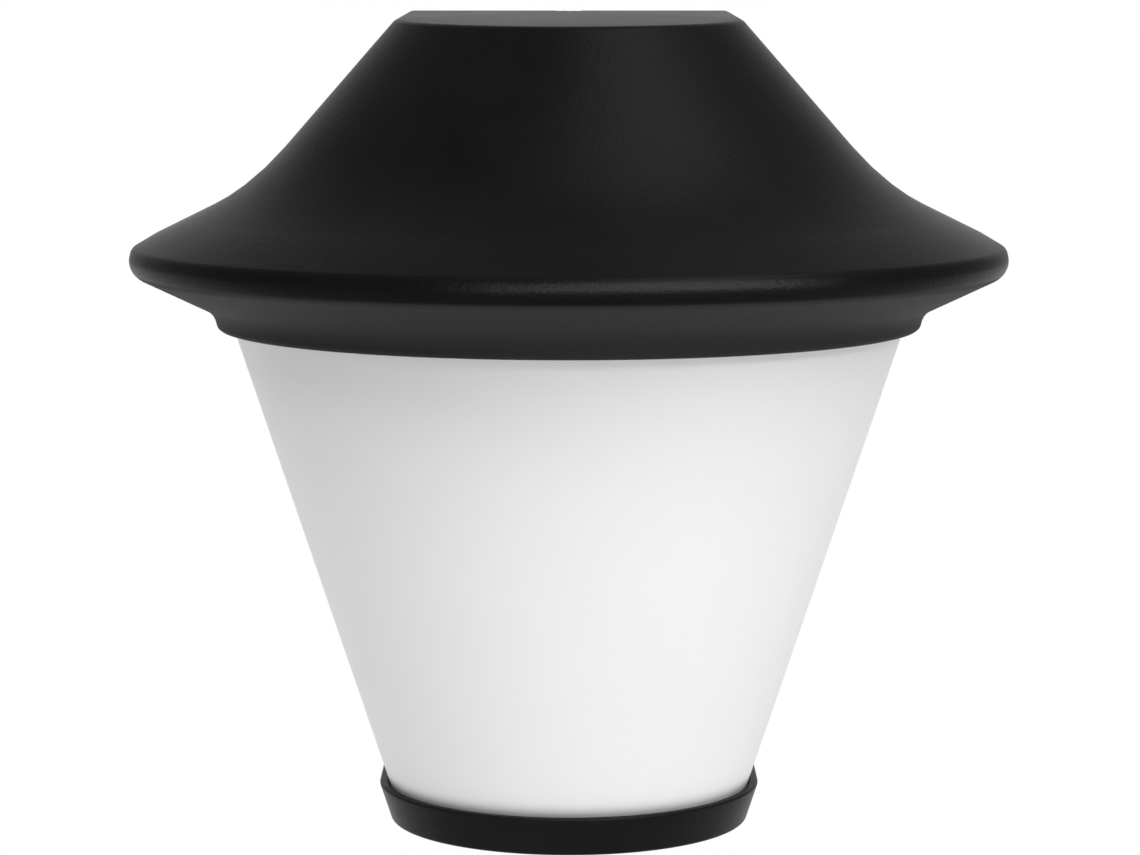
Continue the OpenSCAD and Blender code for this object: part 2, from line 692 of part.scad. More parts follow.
// Shade, foot cup and the foot screw
cup_rim_half = shade_half(cup_h) + cup_slack + cup_wall;
boss_wall = 5;
head_edge = 1;
screw_end = 0.4;
module opal_shade() color("#f3f3f1") from_foot() {
    level_wall = shade_wall * sqrt(1 + taper * taper);
    foot_half = shade_half(shade_z);
    u_sweep(shade_y) polygon([
        [foot_half, shade_z], [spigot_half, taper_z], [spigot_half, spigot_z],
        [spigot_half - shade_wall, spigot_z], [spigot_half - shade_wall, taper_z],
        [foot_half - level_wall, shade_z]
    ]);
}
module foot_cup() color("#191919") from_foot() difference() {
    side_path = [
        [0, 0], [cup_rim_half - taper * cup_h, 0], [cup_rim_half, cup_h], [cup_rim_half - cup_wall, cup_h]
    ];
    union() {
        u_sweep(shade_y) polygon(concat(
            [[0, 0]], rounded(side_path, [cup_foot_r, cup_rim_r], [steps_small, steps_small]),
            [[shade_half(cup_floor) + cup_slack, cup_floor], [0, cup_floor]]
        ));
        translate([0, -screw_y, 0]) cylinder(r = screw_r + boss_wall, h = tab_z - seat_gap);
    }
    translate([0, -screw_y, -over]) cylinder(r = screw_r + hole_gap, h = tab_z + over);
}
module foot_strip() color("#2a2a2a") from_foot() u_sweep(shade_y)
    translate([shade_half(cup_floor) - strip_w, cup_floor]) square([strip_w, strip_t]);
module screw_washer() color("#2a2a2a") from_foot() translate([0, -screw_y, -washer_t])
    ring(head_r - head_edge, screw_r + hole_gap, washer_t);
module foot_screw() color("#191919") from_foot() translate([0, -screw_y, -washer_t]) {
    cylinder(r = screw_r, h = washer_t + tab_z + plate_t + foot_nut_h + screw_end);
    translate([0, 0, -head_h]) cylinder(r1 = head_r - head_edge, r2 = head_r, h = head_edge);
    translate([0, 0, head_edge - head_h]) cylinder(r = head_r, h = head_h - head_edge);
}

// Bulb: tip, glass insulator, screw cap, housing with the driver and the board, and globe
contact_room = 3;
tip_z = insulator_ceiling_z - contact_room;
tip_r = 4.8;
tip_flat_r = 3;
tip_h = 1.2;
tip_dome = 0.3;
insert_r = 9.6;
insert_tip_r = 5.2;
cap_in = 3.7;
cap_edge = 3;
cap_skin = 0.7;
cap_crown_r = insert_r + 0.2;
cap_top_z = tip_z - cap_in;
cap_foot_z = tip_z - cap_len;
globe_mid_z = tip_z - bulb_len + bulb_r;
globe_cut = 9;
globe_wall = 1.2;
joint_z = globe_mid_z + globe_cut;
joint_r = sqrt(bulb_r * bulb_r - globe_cut * globe_cut);
housing_wall = 1.5;
neck_h = 12;
neck_out = 5;
rim_h = 8;
rim_in = 2;
board_t = 1.5;
board_gap = 0.2;
driver_w = 16;
driver_t = 2;
driver_h = 34;
module bulb_tip() color("#b8bcc0") from_foot() on_axis() rotate_extrude()
    polygon([[0, tip_z - tip_h], [tip_r, tip_z - tip_h], [tip_flat_r, tip_z - tip_dome], [0, tip_z]]);
module bulb_insulator() color("#101014") from_foot() on_axis() rotate_extrude()
    polygon([[0, cap_top_z], [insert_r, cap_top_z], [insert_tip_r, tip_z - tip_h], [0, tip_z - tip_h]]);
module bulb_screw_cap() color("#c4c4c0") from_foot() on_axis() rotate_extrude() polygon([
    [cap_r - cap_skin, cap_foot_z], [cap_r, cap_foot_z], [cap_r, cap_top_z - cap_edge],
    [cap_crown_r, cap_top_z], [0, cap_top_z], [0, cap_top_z - cap_skin],
    [cap_crown_r - cap_skin / 2, cap_top_z - cap_skin],
    [cap_r - cap_skin, cap_top_z - cap_edge - cap_skin / 2]
]);
module bulb_housing() color("#f2f2f0") from_foot() on_axis() rotate_extrude() polygon([
    [cap_r, cap_foot_z], [cap_r + neck_out, cap_foot_z - neck_h], [joint_r - rim_in, joint_z + rim_h],
    [joint_r, joint_z], [joint_r - housing_wall, joint_z], [joint_r - rim_in - housing_wall, joint_z + rim_h],
    [cap_r + neck_out - housing_wall, cap_foot_z - neck_h], [cap_r - housing_wall, cap_foot_z]
]);
module led_driver() color("#2f6b3a") from_foot() on_axis()
    translate([-driver_w / 2, -driver_t / 2, joint_z + board_t]) cube([driver_w, driver_t, driver_h]);
module led_board() color("#d8d8d4") from_foot() on_axis() translate([0, 0, joint_z])
    cylinder(r = joint_r - housing_wall - rim_in * board_t / rim_h - board_gap, h = board_t);
module bulb_globe() color("#f6f6f2") from_foot() on_axis() difference() {
    translate([0, 0, globe_mid_z]) sphere(r = bulb_r);
    translate([0, 0, globe_mid_z]) sphere(r = bulb_r - globe_wall);
    translate([-far / 2, -far / 2, joint_z]) cube(far);
}

wall_pad();
wall_plate();
cable_grommet();
terminal_block();
terminal_sleeves();
terminal_screws();
block_screws();
earth_screw();
earth_washer();
earth_lead();
live_lead();
neutral_lead();
holder_arm();
arm_rivets();
threaded_tube();
tube_nut();
holder_cap();
holder_sleeve();
holder_insulator();
screw_shell();
centre_contact();
foot_nut();
hood();
hood_screws();
reflector_tray();
tray_screws();
shade_seal();
opal_shade();
foot_cup();
foot_strip();
screw_washer();
foot_screw();
bulb_tip();
bulb_insulator();
bulb_screw_cap();
bulb_housing();
led_driver();
led_board();
bulb_globe();
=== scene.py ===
# %% [markdown]
# # An outdoor wall light, a half lantern
# The light hangs on a wall: a flared black hood, a tapered opal shade under it, and a black foot cup
# that holds the shade from below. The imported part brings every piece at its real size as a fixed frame.
# This script dresses that frame. It models again every piece but the two boards in the bulb, with the
# edges, drives and threads that catch the light, gives each piece a finish, and lights the whole as a
# plain studio picture.

# %% Load the frame
import json
import math

import bmesh
import bpy
from mathutils import Matrix, Vector

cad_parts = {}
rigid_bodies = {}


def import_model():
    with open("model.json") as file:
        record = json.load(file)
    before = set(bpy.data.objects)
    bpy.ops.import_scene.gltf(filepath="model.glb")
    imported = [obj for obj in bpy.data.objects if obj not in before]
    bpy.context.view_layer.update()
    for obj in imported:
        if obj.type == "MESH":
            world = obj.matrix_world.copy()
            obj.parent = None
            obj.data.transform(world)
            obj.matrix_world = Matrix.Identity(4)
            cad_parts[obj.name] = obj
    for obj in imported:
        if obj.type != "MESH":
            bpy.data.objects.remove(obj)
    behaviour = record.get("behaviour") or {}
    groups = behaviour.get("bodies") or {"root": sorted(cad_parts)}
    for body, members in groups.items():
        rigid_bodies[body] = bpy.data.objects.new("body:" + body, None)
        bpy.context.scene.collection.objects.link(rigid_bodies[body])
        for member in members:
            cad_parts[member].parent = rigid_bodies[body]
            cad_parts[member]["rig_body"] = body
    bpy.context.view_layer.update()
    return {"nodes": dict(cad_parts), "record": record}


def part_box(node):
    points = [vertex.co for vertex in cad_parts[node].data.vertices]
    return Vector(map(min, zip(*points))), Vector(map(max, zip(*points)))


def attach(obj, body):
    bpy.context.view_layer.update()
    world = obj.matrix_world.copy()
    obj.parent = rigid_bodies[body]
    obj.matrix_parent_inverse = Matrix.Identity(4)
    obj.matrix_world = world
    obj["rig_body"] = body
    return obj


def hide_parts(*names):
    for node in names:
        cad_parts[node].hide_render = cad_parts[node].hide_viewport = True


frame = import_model()
nodes = frame["nodes"]
slot_of = {part["node"]: part["material_slot"] for part in frame["record"]["subparts"]}
print("the record names", len(set(slot_of.values())), "finishes")

# %% [markdown]
# ## Heights and the front axis
# Everything in the drawing is measured up from the underside of the foot cup and out from the wall.
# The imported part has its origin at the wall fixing, so one height turns drawing heights into scene
# heights. In plan every shell is a U: a half circle about one upright axis and two straight sides
# that run back to the wall. The widest shell tells where that axis is, because the half circle's
# radius is half its width.

# %% Heights and the front axis
MM = 0.001
FOOT_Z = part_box("foot_cup")[0].z
HOOD_LOW, HOOD_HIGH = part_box("hood")
LIP_HALF = HOOD_HIGH.x
AXIS_Y = HOOD_LOW.y + LIP_HALF
ROOF_BACK_Z = HOOD_HIGH.z
BACK_HOOD = HOOD_HIGH.y
SHADE_LOW, SHADE_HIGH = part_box("opal_shade")
BACK_SHADE = SHADE_HIGH.y


def up(height_mm):
    """Scene height of a place measured in millimetres above the foot."""
    return FOOT_Z + height_mm * MM


print("front axis", round(-AXIS_Y / MM, 1), "mm from the wall")
print("overall width", round(2 * LIP_HALF / MM, 1), "mm")

# %% [markdown]
# ## Camera
# The picture was taken from about a metre away with a long lens, a little above the light and tipped
# down. Fitting a pinhole camera to the ellipses of the collar, the cup and the roof gives the place,
# the tip and the focal length. A camera that looks level and is shifted in its film plane would give
# almost the same frame, but a tipped one needs no shift.

# %% Camera
CAMERA_AWAY = 1.0323
CAMERA_UP = up(222.5)
CAMERA_SIDE = 0.0003
CAMERA_TIP = math.radians(6.79)
PHOTO_WIDTH_PX = 1140
FOCAL_PX = 3703
SENSOR_MM = 36.0


def linked(name, data):
    """A new object in the scene that shows the data."""
    made = bpy.data.objects.new(name, data)
    bpy.context.scene.collection.objects.link(made)
    return made


camera_data = bpy.data.cameras.new("camera")
camera_data.sensor_width = SENSOR_MM
camera_data.lens = SENSOR_MM * FOCAL_PX / PHOTO_WIDTH_PX
camera_data.clip_start = 0.05
camera_data.clip_end = 60.0
camera = linked("camera", camera_data)
camera.location = (CAMERA_SIDE, -CAMERA_AWAY, CAMERA_UP)
camera.rotation_euler = (math.radians(90) - CAMERA_TIP, 0, 0)
bpy.context.scene.camera = camera
bpy.context.scene.view_settings.view_transform = "Standard"
print("camera lens", round(camera_data.lens, 1), "mm")

# %% [markdown]
# ## Shader maths as plain expressions
# A finish is a small sum: a colour, a grain, a little wear. One class wraps a socket and lets Python's
# operators add the Math nodes, so that the recipe reads as a sum. Every other node comes from one
# method that takes the node's type, its settings and its inputs. A colour is written as three numbers.

# %% Shader maths


class Value:
    """A socket in a material, on which arithmetic adds Math nodes."""

    def __init__(self, finish, socket):
        self.finish = finish
        self.socket = socket

    def maths(self, operation, *others):
        inputs = {i: other for i, other in enumerate(others)}
        return self.finish.node("ShaderNodeMath", {"operation": operation}, inputs)

    def __add__(self, other):
        return self.maths("ADD", self, other)

    def __radd__(self, other):
        return self.maths("ADD", other, self)

    def __sub__(self, other):
        return self.maths("SUBTRACT", self, other)

    def __rsub__(self, other):
        return self.maths("SUBTRACT", other, self)

    def __mul__(self, other):
        return self.maths("MULTIPLY", self, other)

    def __rmul__(self, other):
        return self.maths("MULTIPLY", other, self)

    def __truediv__(self, other):
        return self.maths("DIVIDE", self, other)

    def __pow__(self, other):
        return self.maths("POWER", self, other)

    def clamped(self):
        return self.finish.node("ShaderNodeClamp", {}, {"Value": self})

    def larger(self, other):
        return self.maths("MAXIMUM", self, other)

    def sine(self):
        return self.maths("SINE", self)


class Nodes:
    """A node tree that is built up one node at a time."""

    def __init__(self, tree):
        self.tree = tree
        self.tree.nodes.clear()

    def node(self, kind, settings, inputs, out=0):
        made = self.tree.nodes.new(kind)
        for key, value in settings.items():
            setattr(made, key, value)
        for key, value in inputs.items():
            self.feed(made.inputs[key], value)
        return Value(self, made.outputs[out] if made.outputs else None)

    def feed(self, socket, value):
        if isinstance(value, Value):
            self.tree.links.new(value.socket, socket)
        elif socket.type == "RGBA":
            socket.default_value = (*value, 1)
        else:
            socket.default_value = value

    def ray(self, kind):
        """1 for rays of one kind, such as Is Camera Ray."""
        return self.node("ShaderNodeLightPath", {}, {}, out=kind)

    def seen(self):
        """1 for the rays that show a background: camera, mirror-like and see-through ones."""
        shown = self.ray("Is Camera Ray").larger(self.ray("Is Glossy Ray"))
        return shown.larger(self.ray("Is Transmission Ray"))

    def place(self, scale=(1, 1, 1)):
        """Object coordinates, stretched by scale."""
        coordinates = self.node("ShaderNodeTexCoord", {}, {}, out="Object")
        return self.node("ShaderNodeMapping", {}, {"Vector": coordinates, "Scale": scale})

    def axis(self, vector, name):
        return self.node("ShaderNodeSeparateXYZ", {}, {0: vector}, out=name)

    def noise(self, scale, detail=2.0, roughness=0.5, stretch=(1, 1, 1)):
        inputs = {"Vector": self.place(stretch), "Scale": scale, "Detail": detail, "Roughness": roughness}
        return self.node("ShaderNodeTexNoise", {}, inputs)

    def mix(self, factor, first, second):
        settings = {"data_type": "RGBA"}
        return self.node("ShaderNodeMix", settings, {"Factor": factor, 6: first, 7: second}, out=2)

    def ramp(self, value, low, high):
        """Black up to low, white from high on, and an even rise between them."""
        made = self.node("ShaderNodeValToRGB", {}, {"Fac": value})
        ends = made.socket.node.color_ramp.elements
        ends[0].position, ends[1].position = low, high
        return made

    def bump(self, height, strength, distance, normal=None):
        inputs = {"Height": height, "Strength": strength, "Distance": distance}
        if normal is not None:
            inputs["Normal"] = normal
        return self.node("ShaderNodeBump", {}, inputs)


class Finish(Nodes):
    """A material with its Principled shader, whose unchanging numbers are set on its own sockets."""

    def __init__(self, name, **constants):
        self.material = bpy.data.materials.new(name)
        self.material.use_nodes = True
        super().__init__(self.material.node_tree)
        self.shader = self.tree.nodes.new("ShaderNodeBsdfPrincipled")
        self.output = self.tree.nodes.new("ShaderNodeOutputMaterial")
        self.lit = Value(self, self.shader.outputs[0])
        self.feed(self.output.inputs["Surface"], self.lit)
        for socket, value in constants.items():
            self.shader.inputs[socket.replace("_", " ")].default_value = value

    def set(self, **values):
        """Links what changes over the surface, and hands the material over."""
        for socket, value in values.items():
            self.feed(self.shader.inputs[socket.replace("_", " ")], value)
        return self.material


print("shader helpers ready")

# %% [markdown]
# ## Outlines with rounded corners
# Every shell here starts as an outline: a chain of places, each a distance out from the middle and a
# height. Corners are written as sharp ones and then rounded by a rule, as a draughtsman would do it.
# A short shoulder is kept on the straight stretch beside each round, so that smooth shading stays
# true on the long flat stretches and only turns in the round itself.

# %% Outlines with rounded corners
TURN_STEP = math.radians(6)


def meet(p, u, q, v):
    """Where the line through p along u crosses the line through q along v."""
    return p + u * ((q - p).cross(v) / u.cross(v))


def rounded(corners, radii, shoulder=0.3 * MM):
    """The chain of corners with each inner one replaced by an arc of its radius."""
    corners = [Vector(corner) for corner in corners]
    chain = [corners[0]]
    for before, corner, after, radius in zip(corners, corners[1:], corners[2:], radii):
        back = (before - corner).normalized()
        on = (after - corner).normalized()
        half = back.angle(on) / 2
        reach = radius / math.tan(half)
        centre = corner + (back + on).normalized() * (radius / math.sin(half))
        start = corner + back * reach - centre
        swing = (corner + on * reach - centre).angle_signed(start)
        steps = max(2, math.ceil(abs(swing) / TURN_STEP))
        chain.append(corner + back * (reach + shoulder))
        for step in range(steps + 1):
            chain.append(centre + Matrix.Rotation(swing * step / steps, 2) @ start)
        chain.append(corner + on * (reach + shoulder))
    chain.append(corners[-1])
    return chain


print("a rounded square corner has", len(rounded([(0, 0), (0.01, 0), (0.01, 0.01)], [2 * MM])), "points")

# %% [markdown]
# ## Sweeping an outline round the front
# The shells could be built as whole turned shapes and cut in half, but then the straight sides would
# have to be bridged in. It is simpler to follow the way round: the outline starts at the wall on the
# right, is extruded forward to the axis, spun half a turn about it, and extruded back to the wall.

# %% Sweeping an outline round the front
FRONT_STEPS = 72
TINY = 0.01 * MM


def extrude_chain(mesh, edges, offset):
    """Extrudes a chain of edges by an offset and returns the new chain."""
    made = bmesh.ops.extrude_edge_only(mesh, edges=edges)["geom"]
    moved = [item for item in made if isinstance(item, bmesh.types.BMVert)]
    bmesh.ops.translate(mesh, verts=moved, vec=offset)
    return [item for item in made if isinstance(item, bmesh.types.BMEdge)]


def face_out(mesh):
    bmesh.ops.recalc_face_normals(mesh, faces=mesh.faces)


def tidy_shell(mesh):
    """Merges what lies in one place and turns every face outward."""
    bmesh.ops.remove_doubles(mesh, verts=mesh.verts, dist=TINY)
    face_out(mesh)


def boundary(mesh):
    return [edge for edge in mesh.edges if edge.is_boundary]


def close_up(mesh):
    """Fills every hole with one face."""
    bmesh.ops.holes_fill(mesh, edges=boundary(mesh), sides=0)
    face_out(mesh)


def chained(mesh, places, closed=False):
    """A chain of edges through new vertices at the places."""
    verts = [mesh.verts.new(place) for place in places]
    pairs = list(zip(verts, verts[1:]))
    if closed:
        pairs.append((verts[-1], verts[0]))
    return [mesh.edges.new(pair) for pair in pairs]


def lantern_sweep(outline, back, closed=False):
    """Sweeps an outline along the right side, round the front and along the left side."""
    mesh = bmesh.new()
    chain = chained(mesh, [(place.x, back, place.y) for place in outline], closed)
    forward = Vector((0, AXIS_Y - back, 0))
    chain = extrude_chain(mesh, chain, forward)
    front = bmesh.ops.spin(
        mesh, geom=chain, cent=(0, AXIS_Y, 0), axis=(0, 0, 1), angle=-math.pi, steps=FRONT_STEPS
    )["geom_last"]
    chain = [item for item in front if isinstance(item, bmesh.types.BMEdge)]
    extrude_chain(mesh, chain, -forward)
    tidy_shell(mesh)
    return mesh


def cut(mesh, place, normal):
    """Cuts the mesh with a plane, drops what lies beyond it and returns the cut edges."""
    whole = [*mesh.verts, *mesh.edges, *mesh.faces]
    done = bmesh.ops.bisect_plane(
        mesh, geom=whole, dist=TINY / 10, plane_co=place, plane_no=normal, clear_outer=True
    )
    return [item for item in done["geom_cut"] if isinstance(item, bmesh.types.BMEdge)]


def round_edges(mesh, width, wanted, segments=3):
    """Bevels the edges for which wanted(edge) is true."""
    edges = [edge for edge in mesh.edges if edge.is_manifold and wanted(edge)]
    bmesh.ops.bevel(
        mesh, geom=edges, offset=width, offset_type="OFFSET", affect="EDGES",
        segments=segments, profile=0.5, material=-1, clamp_overlap=True
    )


def sharp(edge, degrees=30):
    """Whether the two faces at an edge turn by more than some degrees."""
    return edge.is_manifold and edge.calc_face_angle() > math.radians(degrees)


SHARP_SHADE = 32


def baked(mesh, name="work"):
    """Mesh data made from a bmesh, which is then freed."""
    data = bpy.data.meshes.new(name)
    mesh.to_mesh(data)
    mesh.free()
    return data


def stand_for(node, mesh, name, finish=None, tidy=True):
    """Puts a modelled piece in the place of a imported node, in a finish of its own or the node's."""
    if tidy:
        bmesh.ops.remove_doubles(mesh, verts=mesh.verts, dist=TINY)
    for face in mesh.faces:
        face.smooth = True
    for edge in mesh.edges:
        edge.smooth = not sharp(edge, SHARP_SHADE)
    open_edges = sum(1 for edge in mesh.edges if not edge.is_manifold)
    volume = mesh.calc_volume(signed=True)
    data = baked(mesh, name)
    piece = linked(name, data)
    if finish is None:
        finish = nodes[node].data.materials[0]
    data.materials.append(finish)
    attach(piece, nodes[node]["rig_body"])
    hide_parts(node)
    print(f"{name}: {len(data.polygons)} faces, {open_edges} open edges, {volume * 1e6:.1f} cm3")


print("sweep helpers ready")

# %% [markdown]
# ## Black coat
# The castings wear a black powder coat, a baked film with a fine orange peel and a soft sheen. A colour
# close to black, a medium roughness that wanders a little, and two sizes of bump give it. The finer
# bump is the stronger one, and breaks a highlight up into the grain that the photograph shows. Along an
# edge the coat is thinner and rubbed a touch lighter, which the Bevel node finds by comparing two
# normals. Behind the lip of the hood the coat is flat and a shade greyer, and that starts at one
# height, so a mask on the height sets it apart.

# %% Black coat
BLACK = (0.0028, 0.0028, 0.003)
BLACK_CLOUD = (0.0042, 0.0042, 0.0044)
BLACK_WORN = (0.012, 0.012, 0.0122)
CUP_BLACK = (0.006, 0.006, 0.0063)
CUP_CLOUD = (0.0085, 0.0085, 0.0088)
WORN_WIDTH = 0.6 * MM
UNDER_GREY = (0.026, 0.026, 0.0265)
UNDER_Z = up(148.2)
UNDER_FADE = 0.7 * MM
COAT_GLOSS = 0.07
COAT_ROUGHNESS = 0.28
PATCHES, GRAIN, PEEL, SPECKS = 26, 1500, 520, 320
EDGE_LOW, EDGE_HIGH = 0.02, 0.2
WORN_SHARE = 0.9
ROUGH_PATCHES, ROUGH_GRAIN, ROUGH_UNDER = 0.08, 0.06, 0.25


def edge_mask(finish):
    """Grey that is 1 along edges, from how far a rounded normal leaves the true one."""
    soft = finish.node("ShaderNodeBevel", {"samples": 4}, {"Radius": WORN_WIDTH})
    true = finish.node("ShaderNodeNewGeometry", {}, {}, out="Normal")
    product = {"operation": "DOT_PRODUCT"}
    likeness = finish.node("ShaderNodeVectorMath", product, {0: soft, 1: true}, out="Value")
    return ((1 - likeness - EDGE_LOW) / (EDGE_HIGH - EDGE_LOW)).clamped()


def black_coat(name, black, cloudy, under_z=None):
    finish = Finish(name, IOR=1.42, Specular_IOR_Level=COAT_GLOSS)
    patches = finish.noise(PATCHES, detail=3)
    cloud = finish.ramp(patches, 0.35, 0.65)
    colour = finish.mix(cloud, black, cloudy)
    colour = finish.mix(edge_mask(finish) * finish.noise(SPECKS) * WORN_SHARE, colour, BLACK_WORN)
    grain = finish.noise(GRAIN)
    peel = finish.noise(PEEL, detail=1.5)
    rough = COAT_ROUGHNESS + patches * ROUGH_PATCHES + grain * ROUGH_GRAIN
    if under_z is not None:
        under = ((under_z - finish.axis(finish.place(), "Z")) / UNDER_FADE).clamped()
        colour = finish.mix(under, colour, UNDER_GREY)
        rough = rough + under * ROUGH_UNDER
    grain_bump = finish.bump(grain, 0.9, 0.12 * MM)
    peel_bump = finish.bump(peel, 0.12, 0.25 * MM, normal=grain_bump)
    return finish.set(Base_Color=colour, Roughness=rough, Normal=peel_bump)


hood_finish = black_coat("black powder coat", BLACK, BLACK_CLOUD, UNDER_Z)
cup_finish = black_coat("black powder coat of the cup", CUP_BLACK, CUP_CLOUD)
print("black coat made with", len(hood_finish.node_tree.nodes), "nodes")

# %% [markdown]
# ## Outline of the hood
# The hood is one casting. Seen in section its outside runs down a leaning side, turns through a large
# hollow sweep into the brim, breaks over a nearly upright edge, rolls round the lip and comes back under
# it to an upright collar that hangs round the top of the shade. Each stretch is a straight line with a
# known slope, so the corners are found where two lines cross, and the rounds follow from the radii.

# %% Outline of the hood
WALL = 2.4 * MM
ROOF_FALL = math.radians(2.06)
ROOF_HALF = 45.5 * MM
ROOF_OVER = 10 * MM
SIDE_LEAN = math.radians(41.2)
BRIM_LEAN = math.radians(26.2)
EDGE_LEAN = math.radians(76.5)
UNDER_LEAN = math.radians(25.6)
COLLAR_DRAFT = math.radians(12)
EDGE_IN = 0.6 * MM
COLLAR_HALF = 93.1 * MM
COLLAR_Z = up(132.8)
COLLAR_MORE = 4 * MM
LIP_Z = up(151.1)
SWEEP_R = 75 * MM
EDGE_R = 2.5 * MM
LIP_R = 5 * MM
COLLAR_R = 6 * MM


def falling(angle):
    """Direction outward and down at an angle below level."""
    return Vector((math.cos(angle), -math.sin(angle)))


def left_of(direction):
    return Vector((-direction.y, direction.x))


roof_axis_z = ROOF_BACK_Z + AXIS_Y * math.tan(ROOF_FALL)
side_way = falling(math.radians(90) - SIDE_LEAN)
side_top = Vector((ROOF_HALF, roof_axis_z)) - side_way * ROOF_OVER
lip_mid = Vector((LIP_HALF - LIP_R, LIP_Z))
edge_way = falling(EDGE_LEAN)
under_way = -Vector((math.cos(UNDER_LEAN), math.sin(UNDER_LEAN)))
collar_way = -Vector((math.sin(COLLAR_DRAFT), math.cos(COLLAR_DRAFT)))
edge_touch = lip_mid + left_of(edge_way) * LIP_R
under_touch = lip_mid + left_of(under_way) * LIP_R
collar_foot = Vector((COLLAR_HALF, COLLAR_Z))
brim_corner = edge_touch + edge_way * ((LIP_HALF - EDGE_IN - edge_touch.x) / edge_way.x)
side_foot = meet(side_top, side_way, brim_corner, falling(BRIM_LEAN))
lip_corner = meet(edge_touch, edge_way, under_touch, under_way)
collar_top = meet(under_touch, under_way, collar_foot, collar_way)
collar_end = collar_foot + collar_way * COLLAR_MORE
hood_corners = [side_top, side_foot, brim_corner, lip_corner, collar_top, collar_end]
hood_outline = rounded(hood_corners, [SWEEP_R, EDGE_R, LIP_R, COLLAR_R])
print("hood outline of", len(hood_outline), "points")
print("widest at", round(max(place.x for place in hood_outline) / MM, 2), "mm")

# %% [markdown]
# ## Body of the hood
# The outline is swept round the front and cut by the roof plane, which falls a little to the front so
# that rain runs off. The roof is filled in as one flat face, its edge is rounded, and only then is the
# skin given its wall. Solidify offsets the inside evenly, as a casting has it. The collar was swept
# too long, so a level cut now gives it a flat foot, and a bridge closes the cut.

# %% Body of the hood
ROOF_ROUND = 1.2 * MM
BACK_EASE = 0.5 * MM
COLLAR_EASE = 1.3 * MM
NEAR_WALL = 0.2 * MM


def at_back(edge, back):
    return all(vert.co.y > back - TINY for vert in edge.verts)


def ease_back(mesh, back, degrees=60):
    """Eases the sharp edges that lie at the wall."""
    round_edges(mesh, BACK_EASE, lambda e: sharp(e, degrees) and at_back(e, back))


hood_mesh = lantern_sweep(hood_outline, BACK_HOOD)
roof_point = Vector((0, 0, ROOF_BACK_Z))
roof_normal = Vector((0, -math.sin(ROOF_FALL), math.cos(ROOF_FALL)))
roof_rim = cut(hood_mesh, roof_point, roof_normal)
rim_ends = [v for edge in roof_rim for v in edge.verts if abs(v.co.y - BACK_HOOD) < TINY]
roof_back = hood_mesh.edges.new(sorted(dict.fromkeys(rim_ends), key=lambda v: v.co.x))
bmesh.ops.contextual_create(hood_mesh, geom=[*roof_rim, roof_back])
face_out(hood_mesh)
bmesh.ops.bevel(
    hood_mesh, geom=roof_rim, offset=ROOF_ROUND, offset_type="OFFSET", affect="EDGES",
    segments=5, profile=0.5, material=-1
)
print("outer skin:", len(hood_mesh.faces), "faces,", len(boundary(hood_mesh)), "edges on its open rim")

face_out(hood_mesh)
bmesh.ops.solidify(hood_mesh, geom=hood_mesh.faces[:], thickness=WALL)
for vert in hood_mesh.verts:
    if abs(vert.co.y - BACK_HOOD) < NEAR_WALL:
        vert.co.y = BACK_HOOD
foot_cut = cut(hood_mesh, Vector((0, 0, COLLAR_Z)), Vector((0, 0, -1)))
foot_chains = [edge for edge in foot_cut if not at_back(edge, BACK_HOOD)]
bmesh.ops.bridge_loops(hood_mesh, edges=foot_chains)
face_out(hood_mesh)
print("with its wall:", len(hood_mesh.faces), "faces,", len(boundary(hood_mesh)), "open edges")


def is_collar_rim(edge):
    """Whether an edge lies on the outer rim of the collar's foot."""
    at_foot = all(abs(vert.co.z - COLLAR_Z) < TINY for vert in edge.verts)
    return at_foot and sharp(edge) and edge.verts[0].co.xy.length > COLLAR_HALF - MM


round_edges(hood_mesh, COLLAR_EASE, is_collar_rim)
ease_back(hood_mesh, BACK_HOOD, 50)

# %% [markdown]
# ## Turned pieces, joining and cutting
# Screws, washers, tubes and the bulb are all turned shapes: an outline spun a full turn about an axis.
# Holes and bosses are made as a machinist would, by taking one volume out of another or adding it.
# Blender's exact solver does that on two closed meshes, and the result goes on as one mesh.

# %% Turned pieces, joining and cutting
X_WAY = Matrix.Rotation(math.radians(90), 4, "Y")
Y_WAY = Matrix.Rotation(math.radians(90), 4, "X")


def put(mesh, to, way=None):
    """Turns a mesh to its way and moves it to its place."""
    if way is not None:
        bmesh.ops.transform(mesh, matrix=way, verts=mesh.verts)
    bmesh.ops.translate(mesh, verts=mesh.verts, vec=to)
    return mesh


def spun(places, steps, closed=False, **more):
    """Spins a chain of places a full turn about the z axis."""
    mesh = bmesh.new()
    chain = chained(mesh, places, closed)
    bmesh.ops.spin(
        mesh, geom=chain, cent=(0, 0, 0), axis=(0, 0, 1), angle=2 * math.pi, steps=steps, **more
    )
    tidy_shell(mesh)
    return mesh


def turned(outline, steps=64, closed=False, to=(0, 0, 0), way=None):
    """Spins an outline of (radius, height), then turns it to its way and moves it to its place."""
    places = [(radius, 0, height) for radius, height in outline]
    return put(spun(places, steps, closed, use_merge=True), to, way)


def pin(radius, low, high, **place):
    """A round bar between two heights."""
    return turned([(0, low), (radius, low), (radius, high), (0, high)], **place)


def block(low, high):
    """A box between two corners."""
    mesh = bmesh.new()
    bmesh.ops.create_cube(mesh, size=1.0)
    low, high = Vector(low), Vector(high)
    bmesh.ops.scale(mesh, verts=mesh.verts, vec=high - low)
    bmesh.ops.translate(mesh, verts=mesh.verts, vec=(low + high) / 2)
    return mesh


def merged(*meshes):
    """Several meshes in one, with nothing cut."""
    whole = meshes[0]
    for mesh in meshes[1:]:
        data = baked(mesh)
        whole.from_mesh(data)
        bpy.data.meshes.remove(data)
    return whole


